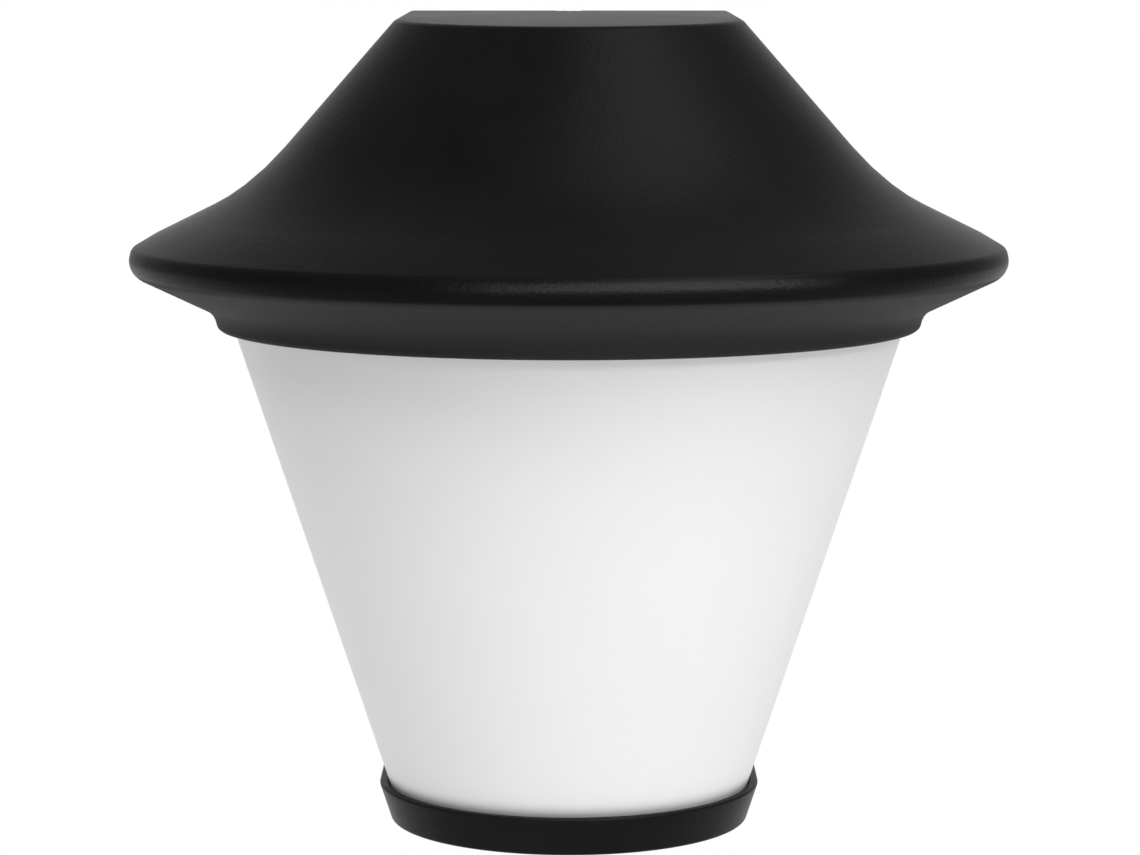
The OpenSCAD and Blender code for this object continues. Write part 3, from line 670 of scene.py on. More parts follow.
def mirrored(mesh):
    """The mesh and its mirror image across the middle of the light."""
    half = mesh.copy()
    bmesh.ops.scale(half, verts=half.verts, vec=(-1, 1, 1))
    bmesh.ops.reverse_faces(half, faces=half.faces)
    return merged(mesh, half)


def solved(mesh, tool, operation):
    """The mesh with the tool's volume taken out (DIFFERENCE) or added (UNION)."""
    pair = [linked("work", baked(part)) for part in (mesh, tool)]
    modifier = pair[0].modifiers.new("solve", "BOOLEAN")
    modifier.operation = operation
    modifier.object = pair[1]
    modifier.solver = "EXACT"
    bpy.context.view_layer.update()
    done = bmesh.new()
    done.from_object(pair[0], bpy.context.evaluated_depsgraph_get())
    for item in pair:
        data = item.data
        bpy.data.objects.remove(item)
        bpy.data.meshes.remove(data)
    bmesh.ops.remove_doubles(done, verts=done.verts, dist=TINY / 10)
    return done


test_bar = solved(pin(3 * MM, 0, 10 * MM), pin(1 * MM, -1 * MM, 11 * MM), "DIFFERENCE")
print("a drilled bar:", round(test_bar.calc_volume() * 1e9, 1), "mm3")
test_bar.free()

# %% [markdown]
# ## Bosses, holes and notch of the hood
# Inside the casting stand three posts for the tray screws and two side bosses for the hood screws.
# Outside, each side screw sits at the foot of a round counterbore, and a notch in the middle of the
# roof's back edge takes the tongue of the wall plate, which lines the hood up.

# %% Bosses, holes and notch of the hood
TRAY_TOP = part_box("reflector_tray")[1].z
POST_RING = 70 * MM
POST_R = 4 * MM
POST_TURNS = [math.radians(turn) for turn in (-80, 0, 80)]
POST_DEPTH = 12 * MM
POST_HIGH = up(200)
TRAY_SCREW_R = 2 * MM
LOCK_Z = up(192)
LOCK_Y = -13 * MM
LOCK_R = 2 * MM
LOCK_SEAT_X = 60.02 * MM
LOCK_HEAD_R = 3.8 * MM
LOCK_BOSS_R = 6.5 * MM
LOCK_BOSS_X = 44.8 * MM
PAST_SIDE = 90 * MM
FREE = 0.3 * MM
BORE_EASE = 0.4 * MM
NOTCH_HALF = 3.5 * MM
NOTCH_FRONT = -4.5 * MM
NOTCH_DEEP = 5 * MM


def post_places():
    return [Vector((POST_RING * math.sin(t), AXIS_Y - POST_RING * math.cos(t), 0)) for t in POST_TURNS]


def ended_in_wall(bar, way):
    """Cuts a bar off in the middle of the leaning wall that it grows from; way is level, outward."""
    lean = Vector((math.cos(SIDE_LEAN), math.sin(SIDE_LEAN)))
    inside = Vector((ROOF_HALF, roof_axis_z)) - lean * WALL / 2
    place = Vector((0, AXIS_Y, 0)) + way * inside.x + Vector((0, 0, inside.y))
    rim = cut(bar, place, way * lean.x + Vector((0, 0, lean.y)))
    bmesh.ops.contextual_create(bar, geom=rim)
    tidy_shell(bar)
    return bar


posts = []
for spot in post_places():
    outward = Vector((spot.x, spot.y - AXIS_Y, 0)).normalized()
    posts.append(ended_in_wall(pin(POST_R, TRAY_TOP, POST_HIGH, to=spot), outward))
side_lock = {"way": X_WAY, "to": (0, LOCK_Y, LOCK_Z)}
boss = ended_in_wall(pin(LOCK_BOSS_R, LOCK_BOSS_X, PAST_SIDE, **side_lock), Vector((1, 0, 0)))
hood_mesh = solved(hood_mesh, merged(mirrored(boss), *posts), "UNION")

bore = [
    (0, LOCK_BOSS_X - MM), (LOCK_R + FREE, LOCK_BOSS_X - MM), (LOCK_R + FREE, LOCK_SEAT_X),
    (LOCK_HEAD_R + FREE, LOCK_SEAT_X), (LOCK_HEAD_R + FREE, PAST_SIDE), (0, PAST_SIDE)
]
bores = mirrored(turned(bore, **side_lock))
post_holes = [pin(TRAY_SCREW_R, TRAY_TOP - MM, TRAY_TOP + POST_DEPTH, to=spot) for spot in post_places()]
notch_low = (-NOTCH_HALF, NOTCH_FRONT, ROOF_BACK_Z - NOTCH_DEEP)
notch = block(notch_low, (NOTCH_HALF, MM, ROOF_BACK_Z + NOTCH_DEEP))
hood_mesh = solved(hood_mesh, merged(bores, *post_holes, notch), "DIFFERENCE")


def at_bore(edge):
    """Whether an edge lies on the outer rim of a side counterbore."""
    reach = LOCK_HEAD_R + FREE
    return sharp(edge) and all(
        abs(math.hypot(v.co.y - LOCK_Y, v.co.z - LOCK_Z) - reach) < TINY and abs(v.co.x) > LOCK_SEAT_X + MM
        for v in edge.verts
    )


round_edges(hood_mesh, BORE_EASE, at_bore)
stand_for("hood", hood_mesh, "hood_casting", hood_finish)

# %% [markdown]
# ## Opal finish
# The shade is moulded in opal plastic: white all through, satin outside, and faintly uneven in depth.
# A subsurface term could let light sink in and come back. Under broad soft lamps a plain white with a
# satin gloss looks the same and renders sooner, so that is used, and a very slow cloud keeps the white
# from looking flat. Just above the cup the colour darkens to grey over the last few millimetres. That
# is painted shade, standing in for the shadow where the shade goes down into the cup.

# %% Opal finish
OPAL = (0.86, 0.86, 0.86)
OPAL_DEEP = (0.82, 0.82, 0.825)
# The grey below, with its share and height, is painted shade: it darkens the white just above the cup's
# rim to stand for the shadow there.
OPAL_PAINTED_SHADE = (0.5, 0.5, 0.5)
PAINTED_SHADE_SHARE = 0.8
CUP_RIM = up(10.4)
PAINTED_SHADE_HIGH = 4.5 * MM
SLOW_CLOUD, HAZE = 14, 900


def opal_finish(name, roughness, painted_shade_z=None):
    finish = Finish(name, IOR=1.49, Specular_IOR_Level=0.4)
    cloud = finish.noise(SLOW_CLOUD, detail=3)
    haze = finish.noise(HAZE, detail=1)
    colour = finish.mix(cloud, OPAL_DEEP, OPAL)
    # Painted shade: towards the cup's rim the white is mixed with grey, for the shadow where the shade
    # meets the cup.
    if painted_shade_z is not None:
        above = ((finish.axis(finish.place(), "Z") - painted_shade_z) / PAINTED_SHADE_HIGH).clamped()
        colour = finish.mix((1 - above) ** 2 * PAINTED_SHADE_SHARE, colour, OPAL_PAINTED_SHADE)
    skin = finish.bump(haze, 0.04, 0.05 * MM)
    return finish.set(Base_Color=colour, Roughness=roughness + haze * 0.06, Normal=skin)


shade_finish = opal_finish("opal shade plastic", 0.34, painted_shade_z=CUP_RIM)
print("opal finish ready")

# %% [markdown]
# ## Opal shade
# The shade tapers from the collar down to the cup and carries a short upright spigot at its top. Its
# section is a closed outline this time, wall and all, so the sweep gives both skins at once. The two
# open ends at the wall are then filled. Every rim is eased, as the mould leaves it.

# %% Opal shade
TAPER = 0.33
SHADE_WALL = 2.5 * MM
SHADE_FOOT, SHADE_TOP = SHADE_LOW.z, SHADE_HIGH.z
SPIGOT_HALF = SHADE_HIGH.x
SPIGOT_HIGH = 6.7 * MM
SPIGOT_R = 4 * MM
SPIGOT_INNER_R = 2 * MM
TAPER_Z = SHADE_TOP - SPIGOT_HIGH
RIM_EASE = 0.7 * MM


def shade_half(z):
    """Half the width of the shade's outside at a height."""
    return SPIGOT_HALF - max(0, TAPER_Z - z) * TAPER


def ring_outline(corners, radii):
    """A closed outline with all its corners rounded."""
    return rounded([corners[-1], *corners, corners[0]], radii, shoulder=0.2 * MM)[1:-1]


level_wall = SHADE_WALL * math.sqrt(1 + TAPER * TAPER)
foot_half = shade_half(SHADE_FOOT)
spigot_inside = SPIGOT_HALF - SHADE_WALL
shade_corners = [
    (foot_half, SHADE_FOOT), (SPIGOT_HALF, TAPER_Z), (SPIGOT_HALF, SHADE_TOP),
    (spigot_inside, SHADE_TOP), (spigot_inside, TAPER_Z), (foot_half - level_wall, SHADE_FOOT)
]
shade_radii = [RIM_EASE, SPIGOT_R, RIM_EASE, RIM_EASE, SPIGOT_INNER_R, RIM_EASE]
shade_mesh = lantern_sweep(ring_outline(shade_corners, shade_radii), BACK_SHADE, closed=True)
close_up(shade_mesh)
ease_back(shade_mesh, BACK_SHADE)
stand_for("opal_shade", shade_mesh, "opal_shade_skin", shade_finish)

# %% [markdown]
# ## Foot cup
# The cup is a shallow tray with a floor, a wall that follows the taper of the shade and a boss for the
# foot screw. Its outline reaches the middle of the light, so the right and left halves of the sweep
# meet there and merge, and the open back is filled as one face.

# %% Foot cup
CUP_FLOOR = up(2.5)
CUP_WALL = 2.5 * MM
CUP_SLACK = 0.25 * MM
CUP_FOOT_R = 1.3 * MM
CUP_RIM_R = 0.6 * MM
CUP_INNER_R = 0.8 * MM
SCREW_Y = -48 * MM
SCREW_R = 3 * MM
CUP_BOSS_R = 8 * MM
CUP_BOSS_Z = up(4.7)
cup_half = shade_half(CUP_RIM) + CUP_SLACK + CUP_WALL
cup_foot_half = cup_half - TAPER * (CUP_RIM - FOOT_Z)
cup_corners = [
    (0, FOOT_Z), (cup_foot_half, FOOT_Z), (cup_half, CUP_RIM), (cup_half - CUP_WALL, CUP_RIM),
    (shade_half(CUP_FLOOR) + CUP_SLACK, CUP_FLOOR), (0, CUP_FLOOR)
]
cup_mesh = lantern_sweep(rounded(cup_corners, [CUP_FOOT_R, CUP_RIM_R, CUP_RIM_R, CUP_INNER_R]), BACK_SHADE)
close_up(cup_mesh)
screw_axis = (0, SCREW_Y, 0)
cup_boss = pin(CUP_BOSS_R, CUP_FLOOR - MM, CUP_BOSS_Z, to=screw_axis)
cup_hole = pin(SCREW_R + FREE, FOOT_Z - MM, CUP_BOSS_Z + MM, to=screw_axis)
cup_mesh = solved(solved(cup_mesh, cup_boss, "UNION"), cup_hole, "DIFFERENCE")
ease_back(cup_mesh, BACK_SHADE)
stand_for("foot_cup", cup_mesh, "foot_cup_casting", cup_finish)

# %% [markdown]
# ## Plastics, rubber and foam
# Moulded parts share one recipe: a colour that drifts slowly, a fine skin from the mould and a
# roughness that follows the drift. Porcelain is the same with a glaze, which a clear coat gives. Foam
# shows the cut cells of its surface, and a Voronoi pattern has exactly that look.

# %% Plastics, rubber and foam


def moulded(name, colour, shade, roughness, cloud=30, grain=1500, depth=0.05, **constants):
    finish = Finish(name, **constants)
    drift = finish.noise(cloud, detail=3)
    skin = finish.noise(grain, detail=2)
    tone = finish.mix(finish.ramp(drift, 0.35, 0.65), shade, colour)
    rough = roughness + (drift - 0.5) * 0.15
    return finish.set(Base_Color=tone, Roughness=rough, Normal=finish.bump(skin, 0.2, depth * MM))


def foam_finish(name):
    finish = Finish(name, Specular_IOR_Level=0.25)
    voronoi = {"Vector": finish.place(), "Scale": 1100}
    cells = finish.node("ShaderNodeTexVoronoi", {}, voronoi, out="Distance")
    drift = finish.noise(60, detail=3)
    pores = finish.ramp(cells, 0.1, 0.6)
    tone = finish.mix(pores * 0.7 + drift * 0.3, (0.012, 0.012, 0.0125), (0.045, 0.045, 0.046))
    cut_cells = finish.bump(pores, 0.5, 0.2 * MM)
    return finish.set(Base_Color=tone, Roughness=0.85 + drift * 0.1, Normal=cut_cells)


def lead_finish(name, colour, shade, stripe=None):
    """Soft cable insulation, with a second colour along its front where a stripe is given."""
    finish = Finish(name, Specular_IOR_Level=0.45)
    drift = finish.noise(90, detail=2)
    tone = finish.mix(drift, shade, colour)
    if stripe:
        depth = finish.axis(finish.place(), "Y")
        front = ((LEAD_Y - depth - 0.2 * MM) / (0.1 * MM)).clamped()
        tone = finish.mix(front, tone, stripe)
    skin = finish.bump(drift, 0.1, 0.1 * MM)
    return finish.set(Base_Color=tone, Roughness=0.4 + drift * 0.12, Normal=skin)


LEAD_Y = (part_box("live_lead")[1].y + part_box("earth_lead")[0].y) / 2
finishes = {
    "black_coat": hood_finish,
    "opal": shade_finish,
    "foam": foam_finish("closed cell foam"),
    "rubber": moulded("soft rubber", (0.022, 0.022, 0.023), (0.014, 0.014, 0.015), 0.68, 50, 1900, 0.06),
    "terminal_plastic": moulded("terminal plastic", (0.76, 0.76, 0.73), (0.7, 0.7, 0.67), 0.45, 80),
    "holder_white": moulded("lampholder plastic", (0.78, 0.775, 0.75), (0.73, 0.725, 0.7), 0.38, 40),
    "porcelain": moulded(
        "glazed porcelain", (0.84, 0.83, 0.79), (0.8, 0.785, 0.74), 0.42, 35, 500, 0.05,
        Coat_Weight=0.8, Coat_Roughness=0.06
    ),
    "white_steel": moulded(
        "white coated steel", (0.8, 0.8, 0.79), (0.765, 0.765, 0.755), 0.42, 22, 1300, 0.08
    ),
    "bulb_white": moulded("bulb housing plastic", (0.82, 0.82, 0.815), (0.78, 0.78, 0.775), 0.4, 30),
    "bulb_opal": opal_finish("bulb globe plastic", 0.28),
    "black_glass": moulded("black glass", (0.01, 0.01, 0.013), (0.006, 0.006, 0.008), 0.12, 60, 300, 0.03),
    "lead_brown": lead_finish("brown insulation", (0.13, 0.045, 0.018), (0.105, 0.035, 0.014)),
    "lead_blue": lead_finish("blue insulation", (0.025, 0.09, 0.38), (0.02, 0.07, 0.31)),
    "lead_green": lead_finish(
        "green and yellow insulation", (0.07, 0.27, 0.03), (0.055, 0.22, 0.025), (0.74, 0.62, 0.04)
    ),
}
print(len(finishes), "finishes so far")

# %% [markdown]
# ## Metals and boards
# Plated steel, brass and nickel differ in colour and in how the surface was worked. Each gets a stain
# that drifts, a fine grain that may be stretched into turning marks, and a roughness that follows
# both. The boards inside the bulb get a pattern of tracks, cut from sine waves.

# %% Metals and boards


def metal(name, colour, dull, roughness, grain=900, stretch=(1, 1, 1), depth=0.03):
    finish = Finish(name, Metallic=1.0)
    stain = finish.noise(70, detail=4, roughness=0.6)
    lines = finish.noise(grain, detail=2, stretch=stretch)
    tone = finish.mix(finish.ramp(stain, 0.3, 0.7), dull, colour)
    rough = (roughness + (stain - 0.5) * 0.2 + (lines - 0.5) * 0.12).clamped()
    return finish.set(Base_Color=tone, Roughness=rough, Normal=finish.bump(lines, 0.15, depth * MM))


def board_finish(name, mask_colour, track_colour, pitch):
    """A circuit board: tracks under a coloured mask."""
    finish = Finish(name, Specular_IOR_Level=0.5)
    along = finish.axis(finish.place(), "X")
    upward = finish.axis(finish.place(), "Z")
    wander = finish.noise(1 / (4 * pitch), detail=0)
    wave = ((along + wander * pitch * 3) * (2 * math.pi / pitch)).sine()
    rows = (upward * (2 * math.pi / (3 * pitch))).sine()
    tracks = ((wave + rows) * 2 - 1).clamped()
    tone = finish.mix(tracks, mask_colour, track_colour)
    relief = finish.bump(tracks, 0.4, 0.05 * MM)
    return finish.set(Base_Color=tone, Roughness=0.35 + tracks * 0.1, Normal=relief)


finishes.update({
    "brass": metal("brass", (0.71, 0.5, 0.21), (0.58, 0.39, 0.15), 0.3),
    "zinc_steel": metal("zinc plated steel", (0.62, 0.63, 0.65), (0.52, 0.53, 0.55), 0.36, grain=500),
    "stainless": metal("stainless steel", (0.6, 0.59, 0.57), (0.52, 0.51, 0.49), 0.28, 1200, (0.15, 1, 1)),
    "nickel": metal("nickel plate", (0.68, 0.66, 0.62), (0.6, 0.58, 0.54), 0.22, 1400, (1, 1, 0.3)),
    "solder": metal("solder", (0.6, 0.6, 0.61), (0.48, 0.48, 0.49), 0.4, grain=260, depth=0.12),
    "board_aluminium": board_finish("lamp board", (0.78, 0.78, 0.77), (0.66, 0.63, 0.5), 2.4 * MM),
    "driver_board": board_finish("driver board", (0.02, 0.13, 0.05), (0.06, 0.24, 0.09), 1.6 * MM),
})
print(len(finishes), "finishes")

# %% [markdown]
# ## Every piece of the frame
# The record says which material slot each node takes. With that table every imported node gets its
# finish at once, and a piece that is modelled again below takes over the finish of its node.

# %% Every piece of the frame
for name, node in nodes.items():
    node.data.materials.clear()
    node.data.materials.append(finishes[slot_of[name]])
print("finished", len(nodes), "nodes")

# %% [markdown]
# ## Easing the plain pieces
# Pressed, moulded and machined parts have no knife edges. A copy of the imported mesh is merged, its flat
# faces are joined up again, and the sharp edges get a small bevel that catches the light. The packed
# node itself is left alone.

# %% Easing the plain pieces
FLAT = math.radians(0.5)
JOIN = 0.002 * MM


def copied(node):
    """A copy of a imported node's mesh, with its loose triangles joined."""
    mesh = bmesh.new()
    mesh.from_mesh(nodes[node].data)
    bmesh.ops.remove_doubles(mesh, verts=mesh.verts, dist=JOIN)
    return mesh


def eased(node, ease):
    """A copy of a node with its sharp edges bevelled."""
    mesh = copied(node)
    bmesh.ops.dissolve_limit(mesh, angle_limit=FLAT, verts=mesh.verts, edges=mesh.edges)
    if ease:
        round_edges(mesh, ease * MM, lambda e: sharp(e, 35), 2)
    return mesh


plain_pieces = [
    ("wall_pad", "foam_pad", 0.35), ("wall_plate", "pressed_wall_plate", 0.3),
    ("cable_grommet", "grommet", 0.3), ("terminal_block", "terminal_body", 0.25),
    ("terminal_sleeves", "terminal_tubes", 0), ("earth_lead", "earth_wire", 0),
    ("live_lead", "live_wire", 0), ("neutral_lead", "neutral_wire", 0),
    ("earth_washer", "earth_plain_washer", 0.15), ("holder_arm", "lampholder_arm", 0.25),
    ("arm_rivets", "rivets", 0.3), ("threaded_tube", "tube_nipple", 0.2),
    ("tube_nut", "tube_hex_nut", 0.3), ("holder_cap", "lampholder_cap", 0.8),
    ("holder_insulator", "ceramic_insert", 0.4), ("screw_shell", "contact_shell", 0.12),
    ("centre_contact", "contact_spring", 0.06), ("foot_nut", "foot_hex_nut", 0.25),
    ("reflector_tray", "reflector", 0.3), ("shade_seal", "seal_strip", 0.35),
    ("foot_strip", "cup_strip", 0.3), ("bulb_insulator", "bulb_glass_ring", 0.3)
]
for node, name, ease in plain_pieces:
    stand_for(node, eased(node, ease), name, tidy=False)

# %% [markdown]
# ## Screws with their drives
# A screw is told by its drive: a coin slot in the foot screw, a hex socket in the hood screws, a cross
# in the tray screws and plain slots at the terminals. Each drive is a small tool cut out of the head,
# just as a punch makes it.

# %% Screws with their drives
NICK = 0.15 * MM
TIP_SHARE, TIP_LONG = 0.75, 0.3
DOME = [(0.9, 0.55), (0.6, 0.12)]
HEAD_STEPS = 40


def threaded(root, crest, pitch, low, high, steps=32, waves=8):
    """A thread: a wave down the side, spun with a rise of one pitch a turn and cut level at its ends."""
    turns = math.ceil((high - low) / pitch) + 2
    places = []
    for i in range(turns * waves + 1):
        swell = 0.5 - 0.5 * math.cos(2 * math.pi * i / waves)
        places.append((root + (crest - root) * swell, 0, low + (i / waves - 1.5) * pitch))
    mesh = spun(places, steps, dvec=(0, 0, pitch / steps))
    cut(mesh, Vector((0, 0, high)), Vector((0, 0, 1)))
    cut(mesh, Vector((0, 0, low)), Vector((0, 0, -1)))
    close_up(mesh)
    return mesh


def slot_tool(width, length, low, high):
    return block((-length, -width / 2, low), (length, width / 2, high))


def cross_tool(width, length, low, high):
    arm = slot_tool(width, length, low, high)
    other = put(arm.copy(), (0, 0, 0), Matrix.Rotation(math.radians(90), 4, "Z"))
    return solved(arm, other, "UNION")


def headed(shank_r, shank_low, head_r, seat, top, tool, dome=0.5 * MM):
    """A screw along z: a plain shank up to its seat and a low domed head with a drive cut into it."""
    outline = [
        (0, shank_low), (shank_r * TIP_SHARE, shank_low), (shank_r, shank_low + shank_r * TIP_LONG),
        (shank_r, seat), (head_r - NICK, seat), (head_r, seat + NICK), (head_r, top - dome - 2 * NICK),
        *((head_r * out, top - dome * down) for out, down in DOME), (0, top)
    ]
    return solved(turned(outline, HEAD_STEPS), tool, "DIFFERENCE")


UPSIDE_DOWN = Matrix.Rotation(math.radians(180), 4, "X")
TRAY_HEAD_R = 3.6 * MM
CROSS_WIDE, CROSS_LONG, CROSS_DEEP = 0.7 * MM, 1.9 * MM, 1.1 * MM
tray_low, tray_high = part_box("tray_screws")
tray_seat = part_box("reflector_tray")[0].z
tray_head_h = tray_seat - tray_low.z
pan_heads = []
for spot in post_places():
    tool = cross_tool(CROSS_WIDE, CROSS_LONG, tray_head_h - CROSS_DEEP, tray_head_h + MM)
    head = headed(TRAY_SCREW_R, tray_seat - tray_high.z, TRAY_HEAD_R, 0, tray_head_h, tool)
    pan_heads.append(put(head, (spot.x, spot.y, tray_seat), UPSIDE_DOWN))
stand_for("tray_screws", merged(*pan_heads), "tray_pan_screws")

LOCK_TIP_X = 41.52 * MM
LOCK_PITCH = 0.7 * MM
LOCK_ROOT_R = 1.65 * MM
LOCK_NECK_R, LOCK_NECK = 1.72 * MM, 2 * MM
HEX_R, HEX_DEEP = 1.45 * MM, 1.5 * MM
head_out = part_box("hood_screws")[1].x - LOCK_SEAT_X
hex_tool = pin(HEX_R, head_out - HEX_DEEP, head_out + MM, steps=6)
cap_screw = headed(LOCK_NECK_R, -LOCK_NECK, LOCK_HEAD_R, 0, head_out, hex_tool, dome=0.7 * MM)
thread = threaded(LOCK_ROOT_R, LOCK_R, LOCK_PITCH, LOCK_TIP_X - LOCK_SEAT_X, -0.3 * MM, steps=24)
side_screw = put(solved(cap_screw, thread, "UNION"), (LOCK_SEAT_X, LOCK_Y, LOCK_Z), X_WAY)
stand_for("hood_screws", mirrored(side_screw), "side_cap_screws")


SAME_SCREW, SLOT_WIDE, SLOT_LONG = 2.2, 0.25, 1.2


def slotted(node, head_r, shank_r, head_h, slot_deep):
    """Screws along y with slotted heads, put where the node's separate solids are."""
    mesh = copied(node)
    spots = {}
    for vert in mesh.verts:
        for spot in spots:
            if math.hypot(vert.co.x - spot[0], vert.co.z - spot[1]) < SAME_SCREW * head_r:
                spots[spot].append(vert.co.copy())
                break
        else:
            spots[(vert.co.x, vert.co.z)] = [vert.co.copy()]
    mesh.free()
    made = []
    for places in spots.values():
        x, z = ((min(p[i] for p in places) + max(p[i] for p in places)) / 2 for i in (0, 2))
        front, back = min(p.y for p in places), max(p.y for p in places)
        long = back - front
        tool = slot_tool(SLOT_WIDE * head_r, SLOT_LONG * head_r, long - slot_deep, long + MM)
        screw = headed(shank_r, 0, head_r, long - head_h, long, tool, dome=0.25 * MM)
        made.append(put(screw, (x, back, z), Y_WAY))
    return merged(*made)


slotted_screws = [
    ("terminal_screws", "clamp_screws", (1.4, 1.3, 1.2, 0.7)),
    ("block_screws", "block_fixing_screws", (2.3, 1.25, 1.5, 0.8)),
    ("earth_screw", "earth_clamp_screw", (3.6, 1.95, 2.4, 1.2))
]
for node, name, sizes in slotted_screws:
    stand_for(node, slotted(node, *(size * MM for size in sizes)), name)

# %% [markdown]
# ## Foot screw
# One knurled screw under the cup holds the shade up, and is turned by hand or with a coin. The knurl
# is a ring of narrow faces, every other one set inward. The rubber washer under the cup is turned with
# soft edges.

# %% Foot screw
KNURL_DEEP, KNURL_INSET = 0.35 * MM, 0.06 * MM
UPRIGHT = 0.1
ROUND_STEPS = 96
SOFT = 0.3 * MM


def round_size(node):
    """Radius, foot and height of an upright round piece."""
    low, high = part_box(node)
    return (high.x - low.x) / 2, low.z, high.z - low.z


def grooved(mesh, wanted, inset):
    """Sets every other wanted face inward, going round the z axis of the mesh."""
    faces = [face for face in mesh.faces if wanted(face)]
    faces.sort(key=lambda f: math.atan2(f.calc_center_median().y, f.calc_center_median().x))
    bmesh.ops.inset_individual(mesh, faces=faces[::2], thickness=inset, depth=-KNURL_DEEP)
    return mesh


HEAD_R, screw_foot, screw_long = round_size("foot_screw")
HEAD_TOP = 6 * MM
SLOT_HALF, SLOT_DEEP = 1.1 * MM, 1.7 * MM
SCREW_ROOT_R, SCREW_PITCH = 2.55 * MM, MM
head_outline = [
    (0, 0), (HEAD_R - 1.3 * MM, 0), (HEAD_R - 0.4 * MM, 0.5 * MM), (HEAD_R, 1.3 * MM),
    (HEAD_R, HEAD_TOP - 0.8 * MM), (HEAD_R - 0.5 * MM, HEAD_TOP), (0, HEAD_TOP)
]
knob = grooved(turned(head_outline, ROUND_STEPS), lambda f: abs(f.normal.z) < UPRIGHT, KNURL_INSET)
knob = solved(knob, slot_tool(2 * SLOT_HALF, HEAD_R * 1.1, -MM, SLOT_DEEP), "DIFFERENCE")
shank = threaded(SCREW_ROOT_R, SCREW_R, SCREW_PITCH, HEAD_TOP - 0.5 * MM, screw_long, steps=28)
knob = solved(knob, shank, "UNION")
knob = put(knob, (0, SCREW_Y, screw_foot))
stand_for("foot_screw", knob, "knurled_foot_screw")

washer_foot, thick = round_size("screw_washer")[1:]
washer_in, washer_out = SCREW_R + FREE, HEAD_R - MM
washer_outline = [
    (washer_in, NICK), (washer_in + NICK, 0), (washer_out - SOFT, 0), (washer_out, SOFT),
    (washer_out, thick - SOFT), (washer_out - SOFT, thick), (washer_in + NICK, thick),
    (washer_in, thick - NICK)
]
washer = turned(washer_outline, closed=True, to=(0, SCREW_Y, washer_foot))
stand_for("screw_washer", washer, "rubber_washer")

# %% [markdown]
# ## Lampholder sleeve
# The sleeve of the lampholder is a plain tube on the drawing. The real ones have a band of fine ribs
# to grip while the sleeve is screwed up, and a rounded mouth, so both are modelled.

# %% Lampholder sleeve
SLEEVE_R, sleeve_foot, tall = round_size("holder_sleeve")
SLEEVE_IN_R = SLEEVE_R - 2.2 * MM
MOUTH = 0.9 * MM
GROOVE = 0.5 * MM
GROOVE_LOW, GROOVE_HIGH = 9 * MM, 11.5 * MM
RIB_LOW, RIB_HIGH = 12 * MM, tall - 4 * MM
RIB_INSET = 0.12 * MM
RIB_STEPS = 120
sleeve_outline = [
    (SLEEVE_R - MOUTH, 0), (SLEEVE_R - SOFT, SOFT), (SLEEVE_R, MOUTH), (SLEEVE_R, GROOVE_LOW),
    (SLEEVE_R - GROOVE, GROOVE_LOW + GROOVE), (SLEEVE_R - GROOVE, GROOVE_HIGH - GROOVE),
    (SLEEVE_R, GROOVE_HIGH), (SLEEVE_R, tall - 3 * MM), (SLEEVE_R, tall - SOFT), (SLEEVE_R - SOFT, tall),
    (SLEEVE_IN_R, tall), (SLEEVE_IN_R, MOUTH), (SLEEVE_IN_R + SOFT, SOFT)
]


def in_ribbed_band(face):
    middle = face.calc_center_median()
    return middle.xy.length > SLEEVE_R - 0.1 * MM and RIB_LOW < middle.z < RIB_HIGH


sleeve = grooved(turned(sleeve_outline, RIB_STEPS, closed=True), in_ribbed_band, RIB_INSET)
sleeve = put(sleeve, (0, AXIS_Y, sleeve_foot))
stand_for("holder_sleeve", sleeve, "ribbed_sleeve")

# %% [markdown]
# ## Bulb
# The bulb turns, so its parts are round. The screw cap gets its rolled thread, and the housing is a
# thin wall that widens smoothly from the cap to the joint. The globe is a thin shell with an eased
# rim. The tip is a blob of solder.

# %% Bulb
CAP_R, cap_foot, cap_tall = round_size("bulb_screw_cap")
CAP_PITCH = 3.62 * MM
CAP_ROOT_R = CAP_R - 0.75 * MM
crown = cap_tall - 3 * MM
cap_body = turned([
    (0, 0), (CAP_R - NICK, 0), (CAP_R, SOFT), (CAP_R, 4.2 * MM), (CAP_ROOT_R, 5 * MM), (CAP_ROOT_R, crown),
    (CAP_R - 1.2 * MM, crown + 0.7 * MM), (10 * MM, cap_tall - SOFT), (9.6 * MM, cap_tall), (0, cap_tall)
])
cap_thread = threaded(CAP_ROOT_R - 0.1 * MM, CAP_R - 0.02 * MM, CAP_PITCH, 4.6 * MM, crown, 64, waves=12)
cap_mesh = put(solved(cap_body, cap_thread, "UNION"), (0, AXIS_Y, cap_foot))
stand_for("bulb_screw_cap", cap_mesh, "rolled_screw_cap")

JOINT_R, housing_foot, housing_tall = round_size("bulb_housing")
HOUSING_WALL = 1.5 * MM
NECK_OUT, NECK_TALL, NECK_ROUND = 5 * MM, 12 * MM, 30 * MM
RIM_OUT, RIM_TALL, RIM_ROUND = 2 * MM, 8 * MM, 12 * MM
housing_corners = [
    (CAP_R, housing_tall), (CAP_R + NECK_OUT, housing_tall - NECK_TALL),
    (JOINT_R - RIM_OUT, RIM_TALL), (JOINT_R, 0)
]
outside = rounded(housing_corners, [NECK_ROUND, RIM_ROUND])
inside = [(place.x - HOUSING_WALL, place.y) for place in reversed(outside)]
housing_mesh = turned(outside + inside, ROUND_STEPS, closed=True, to=(0, AXIS_Y, housing_foot))
round_edges(housing_mesh, SOFT, lambda e: sharp(e, 60), 2)
stand_for("bulb_housing", housing_mesh, "bulb_tapered_housing")

GLOBE_R, globe_foot, globe_tall = round_size("bulb_globe")
GLOBE_WALL = 1.2 * MM
GLOBE_EASE = 0.25 * MM
GLOBE_STEPS = 40


